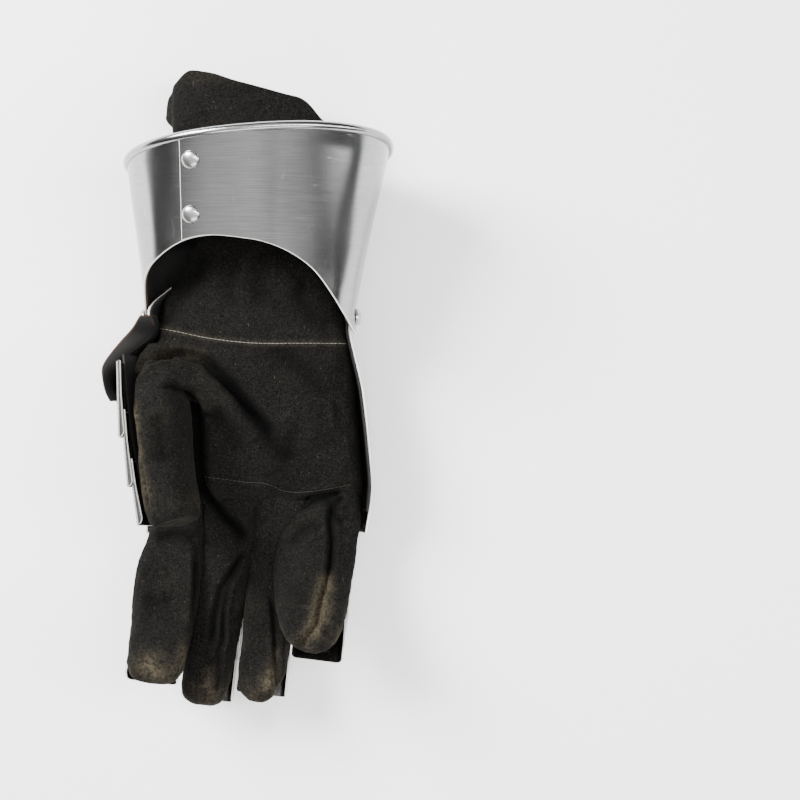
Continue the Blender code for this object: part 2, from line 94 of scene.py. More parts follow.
# The cuff's sheet overlaps itself, and its upper end climbs over the lower one
FLAP_START, FLAP_END = 103, 118
FLAP_LIFT, FLAP_CLIMB = CUFF_SHEET + GAP, ((440, 0), (452, 1))
SEAM_TURN, SEAM_RIVET_TURN = 112, 112.5
SEAM_RIVETS = (("upper", 126), ("lower", 97))
# The dark sheet inside the cuff paints the shade there: its gap inside the steel, and its lowest edge by turn
CUFF_SHADE_SHEET_GAP, CUFF_SHADE_SHEET_FOOT = 0.25, ((190, 0), (225, 66), (315, 66), (350, 0))
RIM_BEAD = 2.4
# The hand plate's edges and the bottom of its trough, all by y
HAND_START, HAND_END, HAND_INSIDE = 62, -86, (2, -5, 60)
HAND_LEFT = (
    (-86, -65), (-57, -65), (-30, -68), (-10, -79), (8, -85.5), (22, -73), (34, -58.6),
    (48, -58.6), (62, -47),
)
HAND_RIGHT = ((-86, 67.8), (-60, 71.5), (-40, 70.5), (0, 66), (20, 61.5), (34, 58.6), (48, 58.6), (62, 47))
HAND_LEFT_TOP = (
    (-86, 26), (-57, 30), (-30, 34), (-10, 40), (8, 47), (22, 47), (34, 50), (42, 59),
    (50, 56), (62, 38),
)
HAND_RIGHT_TOP = (
    (-86, 33), (-57, 44), (-30, 46), (28, 46), (34, 50), (42, 59), (50, 56), (62, 38),
)
HAND_BOTTOM = (
    (-86, 2.6), (-63, 2.6), (-56, -0.6), (-48, -1.6), (-4, -1.6), (8, 0.5), (22, 6), (36, 13.8),
    (48, 16.5), (62, 20.5),
)
THUMB_FLAP_START, THUMB_FLAP_LENGTH = 43.5, 50
THUMB_FLAP_REACH = ((-7, -83), (-2, -85.5), (6, -87), (15, -86.5), (29, -76), (37, -68), (44, -62.5))
HAND_POWER = ((-30, 3.6), (30, 3), (46, 3), (62, 2.3))
# Finger: base joint in plan, height over the floor, lengths, bends
FINGERS = {
    "index": ((-46.5, -77), 9.5, (36, 29, 29), (10, 12, 15)),
    "middle": ((-15, -80), 4.8, (40, 32, 31), (2, 8, 11)),
    "ring": ((16.8, -79), 4.8, (39, 31, 31), (2, 8, 11)),
    "little": ((48.8, -76), 9.5, (31, 26, 28), (15, 18, 19)),
}
FINGER_LEAN = 7
SEGMENTS = ("base", "mid", "tip")
LAME_AXIS, LAME_STEP, LAME_TUCK, LAME_OVERHANG = 16, 2.6, 4, 9
LAME_HALF, LAME_WALL, LAME_CORNER, LAME_ROUND = (13.9, 15.4), 11.5, 4, 3.2
STRAP_HALF = 7
THUMB_ROOT = (-56, 14, 61)
THUMB_BACK, THUMB_LEAN, THUMB_RISE = 30, 7, 9
THUMB_LENGTHS, THUMB_REST = (28, 28, 33), (0, 4, 5)
THUMB_SCALE, THUMB_AXIS, THUMB_OVERHANG = 1.132, 18.2, 12

PALM_VOXEL, DIGIT_VOXEL, SUEDE = 1.3, 1.15, 1.8
THREAD, STITCH_PITCH, STITCH = 0.15, 2.4, 2.3


# Materials


def node(tree, kind, **sockets):
    made = tree.nodes.new(kind)
    for key, value in sockets.items():
        if key in made.inputs:
            made.inputs[key].default_value = value
        else:
            setattr(made, key, value)
    return made


def grey(value):
    return (value, value, value, 1)


def noise(tree, scale, stretch=(1, 1, 1), turn=0, detail=3, rough=0.55):
    """A noise texture in the piece's own coordinates, in metres."""
    where = node(tree, "ShaderNodeTexCoord")
    place = node(tree, "ShaderNodeMapping", Scale=stretch, Rotation=(0, 0, math.radians(turn)))
    texture = node(tree, "ShaderNodeTexNoise", Scale=scale, Detail=detail, Roughness=rough)
    tree.links.new(where.outputs["Object"], place.inputs["Vector"])
    tree.links.new(place.outputs["Vector"], texture.inputs["Vector"])
    return texture.outputs["Fac"]


def ramp(tree, source, stops):
    made = node(tree, "ShaderNodeValToRGB")
    tree.links.new(source, made.inputs["Fac"])
    elements = made.color_ramp.elements
    while len(elements) < len(stops):
        elements.new(0.5)
    for element, (at, colour) in zip(elements, stops):
        element.position = at
        element.color = grey(colour)
    return made.outputs["Color"]


def mix(tree, share, a, b, blend="MIX"):
    """Two colours mixed: share, a and b are sockets, or a number and (red, green, blue)."""
    made = node(tree, "ShaderNodeMix", data_type="RGBA", blend_type=blend)
    for socket, value in ((made.inputs[0], share), (made.inputs[6], a), (made.inputs[7], b)):
        if isinstance(value, bpy.types.NodeSocket):
            tree.links.new(value, socket)
        else:
            socket.default_value = (*value, 1) if socket.type == "RGBA" else value
    return made.outputs[2]


def bump(tree, height, strength, distance, normal=None):
    made = node(tree, "ShaderNodeBump", Strength=strength, Distance=distance)
    tree.links.new(height, made.inputs["Height"])
    if normal is not None:
        tree.links.new(normal, made.inputs["Normal"])
    return made.outputs["Normal"]


def new_look(name, **constants):
    """A material, its node tree and its shader, with the shader's constants set on its sockets."""
    look = bpy.data.materials.new(name)
    look.use_nodes = True
    shader = look.node_tree.nodes["Principled BSDF"]
    for key, value in constants.items():
        shader.inputs[key.replace("_", " ")].default_value = value
    return look, look.node_tree, shader


SHEET_TONES = ((0.24, 0.243, 0.24), (0.32, 0.323, 0.32))


def steel_look(name, brush, rough=(0.2, 0.34), tones=SHEET_TONES, lined=1, metallic=1):
    """Brushed sheet steel: fine lines along brush, faint smears, a few scratches."""
    look, tree, shader = new_look(name, Metallic=metallic)
    lines = noise(tree, 2600, brush, detail=2)
    smears = noise(tree, 42, (1, 0.5, 1), 14, detail=4, rough=0.6)
    scratches = ramp(tree, noise(tree, 260, (1, 0.035, 1), 24, detail=2), ((0.7, 0), (0.74, 1)))
    nicks = ramp(tree, noise(tree, 420, (0.05, 1, 0.4), -12, detail=1), ((0.73, 0), (0.76, 1)))
    marks = mix(tree, 1, scratches, nicks, "ADD")
    tone = mix(tree, ramp(tree, lines, ((0.3, 0), (0.7, 1))), *tones)
    tone = mix(tree, ramp(tree, smears, ((0.45, 0), (0.75, 0.35))), tone, (0.19, 0.19, 0.185))
    tone = mix(tree, ramp(tree, marks, ((0, 0), (1, 0.3))), tone, (0.45, 0.45, 0.45))
    tree.links.new(tone, shader.inputs["Base Color"])
    gloss = mix(tree, smears, (rough[0],) * 3, (rough[1],) * 3)
    tree.links.new(gloss, shader.inputs["Roughness"])
    fine = bump(tree, lines, 0.1 * lined, 0.00004)
    tree.links.new(bump(tree, marks, 0.25, 0.00006, fine), shader.inputs["Normal"])
    return look


def suede_look(name, dark, mid, worn):
    """Suede: short nap lying in patches with painted glints, painted shade in its creases, and tan where it
    is rubbed.
    """
    look, tree, shader = new_look(name, Roughness=0.95, Specular_IOR_Level=0.05, Sheen_Weight=0.01,
                                  Sheen_Roughness=0.55, Sheen_Tint=(0.75, 0.72, 0.66, 1))
    nap = noise(tree, 1900, (1, 0.6, 1), 20, detail=4, rough=0.75)
    grain = noise(tree, 560, detail=4, rough=0.65)
    patches = noise(tree, 30, (1, 0.7, 1), 30, detail=6, rough=0.62)
    tone = mix(tree, ramp(tree, patches, ((0.38, 0), (0.64, 1))), dark, mid)
    tone = mix(tree, ramp(tree, nap, ((0.45, 0), (0.68, 1))), tone, [c * 5.5 for c in mid])
    # Sparse pale flecks: painted glints where the nap catches the light.
    nap_glints = ramp(tree, noise(tree, 820, (1, 0.35, 1), 35, detail=1), ((0.735, 0), (0.77, 0.5)))
    tone = mix(tree, nap_glints, tone, worn)
    tone = mix(tree, ramp(tree, grain, ((0.36, 0.5), (0.5, 0))), tone, [c * 0.5 for c in dark])
    # The "wear" attribute carries rubbing in red and the painted shade of creases in green.
    rubbed = node(tree, "ShaderNodeAttribute", attribute_name="wear")
    wear_and_shade_channels = node(tree, "ShaderNodeSeparateColor")
    tree.links.new(rubbed.outputs["Color"], wear_and_shade_channels.inputs["Color"])
    # Creases painted near black: painted shade where the folds fall into shadow.
    crease_shade_share = ramp(tree, wear_and_shade_channels.outputs["Green"], ((0, 0), (1, 0.85)))
    tone = mix(tree, crease_shade_share, tone, [c * 0.4 for c in dark])
    broken = ramp(tree, grain, ((0.38, 0.25), (0.62, 1)))
    share = mix(tree, 1, wear_and_shade_channels.outputs["Red"], broken, "MULTIPLY")
    tree.links.new(mix(tree, share, tone, worn), shader.inputs["Base Color"])
    coarse = bump(tree, grain, 0.55, 0.00035)
    tree.links.new(bump(tree, nap, 0.6, 0.00022, coarse), shader.inputs["Normal"])
    return look


def leather_look(name, dark, light):
    look, tree, shader = new_look(name, Roughness=0.72, Specular_IOR_Level=0.3)
    pores = noise(tree, 900, detail=3)
    patches = noise(tree, 70, detail=4)
    tone = mix(tree, ramp(tree, patches, ((0.35, 0), (0.7, 1))), dark, light)
    tree.links.new(tone, shader.inputs["Base Color"])
    tree.links.new(bump(tree, pores, 0.5, 0.0003), shader.inputs["Normal"])
    return look


CUFF_LOOK = steel_look("brushed_cuff", (0.02, 1, 0.02), (0.15, 0.25))
HAND_LOOK = steel_look("brushed_hand", (0.05, 1, 0.6))
LAME_LOOK = steel_look("brushed_lames", (0.04, 1, 0.5), (0.16, 0.3))
THUMB_LAME_LOOK = steel_look("brushed_thumb_lames", (0.7, 0.04, 0.7), (0.16, 0.3))
# The pale cream edge tones paint a highlight along the steel's cut edges and bevels.
RIVET_TONES, EDGE_HIGHLIGHT_TONES = ((0.36, 0.36, 0.36), (0.46, 0.46, 0.45)), ((0.78, 0.76, 0.71), (0.9, 0.88, 0.83))
RIVET_LOOK = steel_look("rivet_domes", (1, 1, 1), (0.24, 0.34), RIVET_TONES, 0.3)
EDGE_HIGHLIGHT_LOOK = steel_look("painted_edge_highlight", (1, 1, 1), (0.34, 0.5), EDGE_HIGHLIGHT_TONES, 0.4, 0.4)
SUEDE_LOOK = suede_look("black_suede", (0.0007,) * 3, (0.0031, 0.003, 0.0027), (0.052, 0.043, 0.028))
STRAP_LOOK = leather_look("brown_leather", (0.022, 0.0095, 0.0055), (0.05, 0.021, 0.011))
# Dark leather, also used for the sheet of painted shade inside the cuff
DARK_LEATHER_AND_SHADE_LOOK = leather_look("dark_leather_and_painted_shade", (0.0035, 0.0032, 0.003), (0.007, 0.006, 0.0055))
THREAD_LOOK = leather_look("pale_thread", (0.11, 0.108, 0.1), (0.18, 0.175, 0.16))
HIDDEN_THREAD_LOOK = leather_look("dark_thread", (0.016, 0.015, 0.013), (0.032, 0.03, 0.026))


# Shape helpers


def curve(knots, at, column=1):
    """A smooth value through rising knots, held level past both ends."""
    xs = [knot[0] for knot in knots]
    vs = [knot[column] for knot in knots]
    if at <= xs[0]:
        return vs[0]
    if at >= xs[-1]:
        return vs[-1]
    i = max(j for j in range(len(xs) - 1) if xs[j] <= at)

    def slope(j):
        low, high = max(j - 1, 0), min(j + 1, len(xs) - 1)
        return (vs[high] - vs[low]) / (xs[high] - xs[low])

    span = xs[i + 1] - xs[i]
    t = (at - xs[i]) / span
    rise = vs[i + 1] - vs[i]
    a, b = slope(i) * span, slope(i + 1) * span
    return vs[i] + t * a + t * t * (3 * rise - 2 * a - b) + t * t * t * (a + b - 2 * rise)


def row_point(point):
    """A design point as a point of the row frame, in metres."""
    return (Vector(point) + SHIFT) * MM


def superellipse(turn, half_x, half_z, power):
    c, s = math.cos(turn), math.sin(turn)
    x, z = math.copysign(abs(c) ** (2 / power), c), math.copysign(abs(s) ** (2 / power), s)
    return x * half_x, z * half_z


def circle(centre, across, up, steps):
    turns = [2 * math.pi * i / steps for i in range(steps)]
    return [centre + across * math.cos(turn) + up * math.sin(turn) for turn in turns]


def between(pair, share):
    return pair[0] + (pair[1] - pair[0]) * share


def spread(first, last, count):
    return [first + (last - first) * i / (count - 1) for i in range(count)]


def grid_faces(rows, columns, ring=False):
    faces = []
    for r in range(rows - 1):
        for c in range(columns if ring else columns - 1):
            d = (c + 1) % columns
            faces.append((r * columns + c, r * columns + d, (r + 1) * columns + d, (r + 1) * columns + c))
    return faces


def placed(name, data):
    thing = bpy.data.objects.new(name, data)
    bpy.context.scene.collection.objects.link(thing)
    return thing


def add(name, points, faces, look, replaces=()):
    """A smooth-shaded piece from points in design millimetres."""
    mesh = bpy.data.meshes.new(name)
    moved = (np.asarray(points, float) + np.array(SHIFT)) * MM
    mesh.from_pydata(moved.tolist(), [], [tuple(int(i) for i in face) for face in faces])
    mesh.polygons.foreach_set("use_smooth", [True] * len(mesh.polygons))
    mesh.materials.append(look)
    mesh.update()
    thing = placed(name, mesh)
    if replaces:
        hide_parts(*replaces)
    return thing


def face_away(mesh, inside):
    """Turns a sheet's faces away from a design point."""
    centre = row_point(inside)
    if sum((f.center - centre).normalized().dot(f.normal) * f.area for f in mesh.polygons) < 0:
        mesh.flip_normals()


def face_outward(mesh):
    """Turns a closed mesh's faces outward."""
    work = bmesh.new()
    work.from_mesh(mesh)
    bmesh.ops.recalc_face_normals(work, faces=work.faces)
    work.to_mesh(mesh)
    work.free()


def sheet(name, rows, thickness, inside, look, replaces=(), bevel=0.3, edge=None, ring=False):
    """A sheet through rows of points, with softened cut edges that may have a look of their own: brown on
    leather, and a painted highlight on steel.
    """
    faces = grid_faces(len(rows), len(rows[0]), ring)
    thing = add(name, [p for row in rows for p in row], faces, look, replaces)
    face_away(thing.data, inside)
    shell = thing.modifiers.new("thickness", "SOLIDIFY")
    shell.thickness = thickness * MM
    shell.offset = -1
    shell.use_even_offset = True
    # An edge look covers the cut edges and bevels: on steel it is a painted highlight.
    if edge:
        thing.data.materials.append(edge)
        shell.material_offset_rim = 1
    if bevel:
        edges = thing.modifiers.new("edges", "BEVEL")
        edges.width = bevel * MM
        edges.segments = 2
        edges.limit_method = "ANGLE"
        edges.angle_limit = math.radians(50)
        edges.harden_normals = True
        if edge:
            edges.material = 1
    return thing


def dome(name, at, outward, head, rise, shank, depth, body, replaces):
    """A domed rivet: at is the underside of its head, and the shank runs depth back from there."""
    profile = [(0, rise)]
    for i in range(1, 10):
        turn = math.pi / 2 * i / 10
        profile.append((head * math.sin(turn), rise * math.cos(turn) ** 0.9))
    profile += [(head, 0.12), (head - 0.1, 0), (shank, 0), (shank, -depth), (shank - 0.3, -depth - 0.1)]
    turn = Vector(outward).to_track_quat("Z", "Y").to_matrix()
    steps = 40
    points = []
    for r, z in profile[1:]:
        points += circle(Vector(at) + turn @ Vector((0, 0, z)), turn.col[0] * r, turn.col[1] * r, steps)
    faces = [tuple(reversed(face)) for face in grid_faces(len(profile) - 1, steps, ring=True)]
    for z, ring, flip in ((rise, 0, False), (-depth - 0.1, (len(profile) - 2) * steps, True)):
        points.append(Vector(at) + turn @ Vector((0, 0, z)))
        for i in range(steps):
            face = (ring + i, ring + (i + 1) % steps, len(points) - 1)
            faces.append(tuple(reversed(face)) if flip else face)
    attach(add(name, points, faces, RIVET_LOOK, replaces), body)


# Cuff


def cuff_point(turn, y, lift=0):
    s = min(max((y - CUFF_WRIST_Y) / (CUFF_RIM_Y - CUFF_WRIST_Y), 0), 1.15)
    flare = s ** 1.15
    half_x, half_z = between(CUFF_WIDTHS, flare) + lift, between(CUFF_DEPTHS, flare) + lift
    x, z = superellipse(math.radians(turn), half_x, half_z, 2.6 - 0.4 * min(s, 1))
    return Vector((CUFF_RIM_OFFSET * s + x, y, between(CUFF_CENTRES, s) + z))


def rim_y(turn):
    near = cuff_point(turn, CUFF_RIM_Y)
    across, up = near.x - CUFF_RIM_OFFSET, near.z - CUFF_CENTRES[1]
    return CUFF_RIM_Y + across * CUFF_RIM_SLOPE + up * CUFF_RIM_LEAN


def cuff_normal(turn, y):
    across = cuff_point(turn + 0.5, y) - cuff_point(turn - 0.5, y)
    along = cuff_point(turn, y + 0.5) - cuff_point(turn, y - 0.5)
    normal = across.cross(along).normalized()
    outward = cuff_point(turn, y) - Vector((0, y, CUFF_CENTRES[0]))
    return normal if normal.dot(outward) > 0 else -normal


def hammered(turn, y):
    """How far hand work leaves the cuff's sheet from its true shape."""
    t = math.radians(turn)
    broad = math.sin(7 * t + 0.03 * y) * math.sin(0.045 * y + 2 * t)
    return 0.22 * broad + 0.12 * math.sin(13 * t - 0.05 * y)


def build_cuff_plate():
    rows = []
    for v in spread(0, 1, 44):
        quiet = min(v / 0.1, 1) * min((1 - v) / 0.1, 1)
        row = []
        for turn in spread(FLAP_START, 360 + FLAP_END, 220):
            low, high = curve(CUFF_EDGE, turn % 360), rim_y(turn) - 0.6
            y = between((low, high), v)
            past, short = (turn - SEAM_TURN) % 360, SEAM_TURN + 360 - turn
            free = max(1 - math.exp(-(past / 9) ** 2) - math.exp(-(short / 9) ** 2), 0)
            lift = FLAP_LIFT * curve(FLAP_CLIMB, turn) + hammered(turn, y) * quiet * free
            row.append(cuff_point(turn, y, lift))
        rows.append(row)
    shell = sheet("cuff_plate", rows, CUFF_SHEET, CUFF_INSIDE, CUFF_LOOK, ("cuff_shell",), 0.5,
                  EDGE_HIGHLIGHT_LOOK)
    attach(shell, "cuff")


# A dark leather sheet inside the cuff, standing in for the shade that falls there.
def build_cuff_shade_sheet():
    rows = []
    for v in spread(0, 1, 24):
        row = []
        for turn in range(0, 360, 3):
            low = max(curve(CUFF_EDGE, turn) + 1.6, curve(CUFF_SHADE_SHEET_FOOT, turn))
            y = between((low, rim_y(turn) - 7), v)
            row.append(cuff_point(turn, y, -CUFF_SHEET - CUFF_SHADE_SHEET_GAP))
        rows.append(row)
    shade_sheet = sheet("cuff_painted_shade", rows, 0.8, CUFF_INSIDE, DARK_LEATHER_AND_SHADE_LOOK, bevel=0.2,
                   edge=STRAP_LOOK, ring=True)
    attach(shade_sheet, "cuff")


def build_cuff_rim():
    points, around, sides = [], 260, 18
    for i in range(around):
        turn = 360 * i / around
        centre = cuff_point(turn, rim_y(turn), -CUFF_SHEET / 2 + 0.2)
        out = cuff_normal(turn, rim_y(turn) - 2)
        along = (cuff_point(turn + 1, rim_y(turn + 1)) - cuff_point(turn - 1, rim_y(turn - 1))).normalized()
        up = along.cross(out).normalized()
        points += circle(centre, out * RIM_BEAD, up * RIM_BEAD, sides)
    faces = grid_faces(around, sides, ring=True)
    last = (around - 1) * sides
    faces += [(last + k, last + (k + 1) % sides, (k + 1) % sides, k) for k in range(sides)]
    rim = add("cuff_rolled_rim", points, faces, CUFF_LOOK, ("cuff_rim_bead",))
    face_outward(rim.data)
    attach(rim, "cuff")


def build_cuff_rivets():
    for name, y in SEAM_RIVETS:
        normal = cuff_normal(SEAM_RIVET_TURN, y)
        at = cuff_point(SEAM_RIVET_TURN, y, FLAP_LIFT) + normal * 0.1
        dome(f"seam_rivet_{name}", at, normal, 5.2, 2.4, 1.8, 4.2, "cuff", (f"cuff_seam_rivet_{name}",))
    for x, name in ((-1, "thumb_side"), (1, "little_side")):
        at = (x * (CUFF_WIDTHS[0] + GAP), WRIST_Y, WRIST_Z)
        dome(f"pivot_rivet_{name}", at, (x, 0, 0), 5, 2.8, 2.2, 6.5, "cuff", (f"wrist_pivot_rivet_{name}",))


# Hand plate


def hand_row(y, columns=81):
    left, right = curve(HAND_LEFT, y), curve(HAND_RIGHT, y)
    tops = curve(HAND_LEFT_TOP, y), curve(HAND_RIGHT_TOP, y)
    bottom, power = curve(HAND_BOTTOM, y), curve(HAND_POWER, y)
    row = []
    for i in range(columns):
        share, drop = superellipse(math.pi * (1 + i / (columns - 1)), 1, 1, power)
        top = between(tops, (share + 1) / 2)
        x = (left + right + share * (right - left)) / 2
        row.append(Vector((x, y, max(top + (top - bottom) * drop, 0))))
    return row


def inside_row(row, depth, proud):
    """A row moved in by depth, with both its ends standing proud of the plate's edge."""
    made = []
    for i, p in enumerate(row):
        a, b = row[max(i - 1, 0)], row[min(i + 1, len(row) - 1)]
        along = (b - a).normalized()
        made.append(p + Vector((-along.z, 0, along.x)) * depth)
    first, last = made[0].copy(), made[-1].copy()
    return [first + Vector((-0.6, 0, proud)), first + Vector((0, 0, proud * 0.5))] + made[1:-1] + [
        last + Vector((0, 0, proud * 0.5)), last + Vector((0.6, 0, proud))]


def knuckle_rivet_xy(name):
    x, y = FINGERS[name][0]
    return x + math.tan(math.radians(FINGER_LEAN)) * 9, y + 9


def strap_height(name):
    return FINGERS[name][1] + LAME_STEP + LAME_SHEET + GAP


def build_hand():
    ys = spread(HAND_START, HAND_END, 85)
    rows = [hand_row(y) for y in ys]
    plate = sheet("hand_steel", rows, HAND_SHEET, HAND_INSIDE, HAND_LOOK, ("hand_plate",),
                  0.35, EDGE_HIGHLIGHT_LOOK)
    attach(plate, "hand")
    rows = [inside_row(hand_row(y, 61), 1.9, 1.2) for y in ys[1:-8]]
    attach(sheet("hand_lining", rows, 0.9, HAND_INSIDE, DARK_LEATHER_AND_SHADE_LOOK, (), 0.2), "hand")


def build_thumb_flap():
    """The leather over the hand plate's thumb side, which the thumb's plates hang from."""
    rows = []
    for y in spread(THUMB_FLAP_START, THUMB_FLAP_START - THUMB_FLAP_LENGTH, 22):
        side, top = curve(HAND_LEFT, y), curve(HAND_LEFT_TOP, y)
        reach = min(side - 1, curve(THUMB_FLAP_REACH, y))
        profile = ((side + 2.9, -9), (side + 2.5, -3), (side + 1.4, 0.6), (side * 0.75 + reach * 0.25, 2.2),
                   (side * 0.4 + reach * 0.6, 3), (reach, 3.2))
        rows.append([Vector((x, y, top + rise)) for x, rise in profile])
    flap = sheet("thumb_flap", rows, STRAP, (-50, 10, 80), DARK_LEATHER_AND_SHADE_LOOK, (), 0.35, STRAP_LOOK)
    smooth = flap.modifiers.new("smooth", "SUBSURF")
    smooth.levels = smooth.render_levels = 1
    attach(flap, "hand")


def build_knuckle_rivets():
    for name in FINGERS:
        x, y = knuckle_rivet_xy(name)
        low = min(p.z for dy in (-3, 0, 3) for p in hand_row(y + dy, 201) if abs(p.x - x) < 3.2)
        depth = strap_height(name) + STRAP - 0.1 - low + GAP
        dome(f"knuckle_dome_{name}", (x, y, low - GAP + 0.2), (0, 0, -1), 3, 1.5, 1.5, depth, "hand",
             (f"knuckle_rivet_{name}",))


# Finger plates and straps


def chain(root, lengths, angles):
    """Frames of a digit's three lengths, in design millimetres."""
    frames, reach = [], root
    for length, angle in zip(lengths, angles):
        joint = reach @ Matrix.Rotation(-math.radians(angle), 4, "X")
        frames.append(joint)
        reach = joint @ Matrix.Translation((0, -length, 0))
    return frames


def digit_roots():
    roots = {}
    for name, ((x, y), height, lengths, angles) in FINGERS.items():
        place = Matrix.Translation((x, y, height + LAME_AXIS))
        roots[name] = (place @ Matrix.Rotation(-math.radians(FINGER_LEAN), 4, "Z"), lengths, angles)
    back, lean, rise = (math.radians(turn) for turn in (THUMB_BACK, THUMB_LEAN, THUMB_RISE))
    away = Vector((math.sin(lean), -math.cos(lean), math.sin(rise))).normalized()
    palm_side = Vector((math.cos(back), 0, math.sin(back)))
    palm_side = (palm_side - away * palm_side.dot(away)).normalized()
    hinge = (-away).cross(palm_side)
    place = Matrix((hinge, -away, palm_side)).transposed().to_4x4()
    place.translation = Vector(THUMB_ROOT)
    roots["thumb"] = (place, THUMB_LENGTHS, THUMB_REST)
    return roots


def gutter_rows(length, overhang, scale, axis, low_wall):
    """A finger plate's trough about its joint axis. Its left wall is low_wall of its right one."""
    start, end, radius = -LAME_TUCK, length + overhang, LAME_ROUND
    ease = [radius * (1 - math.cos(math.pi / 2 * i / 7)) for i in range(8)]
    middle = spread(start + radius, end - radius, 13)[1:-1]
    bend = [math.radians(180 + 90 * k / 8) for k in range(9)]
    rows = []
    for u in [start + d for d in ease] + middle + [end - d for d in reversed(ease)]:
        share = (u - start) / (end - start)
        half = between(LAME_HALF, share) * scale
        base = -axis + LAME_STEP * (1 - share)
        foot = base + LAME_CORNER
        near = min(u - start, end - u, radius)
        drop = radius - math.sqrt(max(radius ** 2 - (radius - near) ** 2, 0))
        lip = -axis + LAME_WALL - drop
        first = max(foot + 0.8, lip - LAME_WALL * (1 - low_wall))
        side = [(-half, first + (foot - first) * k / 3) for k in range(3)]
        inner = half - LAME_CORNER
        corner = [(-inner + LAME_CORNER * math.cos(t), foot + LAME_CORNER * math.sin(t)) for t in bend]
        flat = [(-inner + inner * k / 3, base) for k in range(1, 6)]
        mirror = [(-x, z) for x, z in reversed(corner)]
        wall = [(half, foot + (lip - foot) * k / 3) for k in range(1, 4)]
        rows.append([Vector((x, -u, z)) for x, z in side + corner + flat + mirror + wall])
    return rows


def build_lames(name, root, lengths, angles):
    look, scale, axis, overhang, low_wall = LAME_LOOK, 1, LAME_AXIS, LAME_OVERHANG, 1
    if name == "thumb":
        look, scale, axis, overhang, low_wall = THUMB_LAME_LOOK, THUMB_SCALE, THUMB_AXIS, THUMB_OVERHANG, 0.55
    for part, length, place in zip(SEGMENTS, lengths, chain(root, lengths, angles)):
        reach = 0.5 if part == "tip" else overhang
        rows = [[place @ p for p in row] for row in gutter_rows(length, reach, scale, axis, low_wall)]
        inside = place @ Vector((0, -length / 2, 0))
        plate = sheet(f"lame_{name}_{part}", rows, LAME_SHEET - LAME_EASE, inside, look,
                      (f"{name}_plate_{part}",), 0.3, EDGE_HIGHLIGHT_LOOK)
        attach(plate, f"{name}_{part}")
        at = overhang + 5.2
        base = -axis + LAME_STEP * (1 - (at + LAME_TUCK) / (length + LAME_TUCK + reach))
        inner = -axis + LAME_STEP + LAME_SHEET + GAP + STRAP - 0.1
        dome(f"dome_{name}_{part}", place @ Vector((0, -at, base - 0.1)), place.to_3x3() @ Vector((0, 0, -1)),
             3.6, 1.6, 1.5, inner - base + GAP, f"{name}_{part}", (f"{name}_rivet_{part}",))


def build_straps(name, root, lengths, angles):
    """The leather that ties a digit's plates together, in three pieces that each cross one joint."""
    thumb = name == "thumb"
    axis, start, whole = (THUMB_AXIS, 9, "thumb_leather") if thumb else (LAME_AXIS, 15, "finger_leather")
    level = -axis + LAME_STEP + LAME_SHEET + GAP
    places = [root] + chain(root, lengths, angles)
    first = int(start / 2) - 1
    line = [(0, start - 2 * i) for i in range(first)]
    for k in (1, 2, 3):
        end = lengths[k - 1] - (3 if k < 3 else 8)
        line += [(k, -3 - (end - 3) * i / 14) for i in range(15)]
    cuts = (0, first + 7, first + 22, first + 44)
    across = [STRAP_HALF * c / 6 for c in range(-6, 7)]
    for k, part in enumerate(SEGMENTS):
        rows = []
        for at, y in line[cuts[k]:cuts[k + 1] + 1]:
            rows.append([places[at] @ Vector((x, y, level + 0.25 * math.cos(x * 0.3))) for x in across])
        above = places[line[cuts[k]][0]].to_3x3() @ Vector((0, 0, -50))
        strap = sheet(f"strap_{name}_{part}", rows, STRAP, rows[len(rows) // 2][6] + above,
                      DARK_LEATHER_AND_SHADE_LOOK if thumb else STRAP_LOOK, (whole,), 0.25)
        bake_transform(strap)


def build_strap_band():
    """The leather across the hand that the finger straps grow from."""
    spots = []
    for name, ((x, y), *_) in FINGERS.items():
        spots += [(x + 1.7 + dx, y + 14, strap_height(name)) for dx in (-STRAP_HALF, 0, STRAP_HALF)]
    across = spread(spots[0][0], spots[-1][0], 61)
    front = [Vector((x, curve(spots, x) - 3, curve(spots, x, 2) + 0.6)) for x in across]
    rows = [[p + Vector((0, 1.5 * back, 0)) for p in front] for back in range(7)]
    band = sheet("strap_band", rows, STRAP, (0, -60, 200), STRAP_LOOK, ("finger_leather",),
                 0.25)
    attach(band, "hand")


# Glove


def smooth_step(value, low, high):
    t = np.clip((value - low) / (high - low), 0, 1)
    return t * t * (3 - 2 * t)


def lattice(points, seed):
    """Smooth random values from -1 to 1 at points measured in cells."""
    base = np.floor(points).astype(np.int64)
    part = smooth_step(points - base, 0, 1)
    total = np.zeros(len(points))
    for corner in range(8):
        step = np.array([(corner >> axis) & 1 for axis in range(3)])
        x, y, z = (base + step).T
        mixed = (x * 73856093) ^ (y * 19349663) ^ (z * 83492791) ^ (seed * 2654435)
        mixed = (mixed ^ (mixed >> 13)) * 1274126177
        value = ((mixed ^ (mixed >> 16)) & 0xFFFF) / 32767.5 - 1
        total += value * np.prod(np.where(step == 1, part, 1 - part), axis=1)
    return total


def waves(points, size, seed, octaves=3, stretch=(1, 1, 1)):
    total, gain = np.zeros(len(points)), 1
    scaled = points / (np.array(stretch) * size)
    for i in range(octaves):
        total += gain * lattice(scaled * 2 ** i + 31.7 * i, seed + i)
        gain *= 0.5
    return total


def closed_tube(rings):
    """Points and faces of a tube with a point at each end."""
    columns = len(rings[0])
    points = [p for ring in rings for p in ring]
    faces = grid_faces(len(rings), columns, ring=True)
    for ring, first, flip in ((rings[0], 0, True), (rings[-1], len(points) - columns, False)):
        points.append(sum(ring, Vector()) / columns)
        tip = len(points) - 1
        for c in range(columns):
            face = (first + c, first + (c + 1) % columns, tip)
            faces.append(tuple(reversed(face)) if flip else face)
    return points, faces


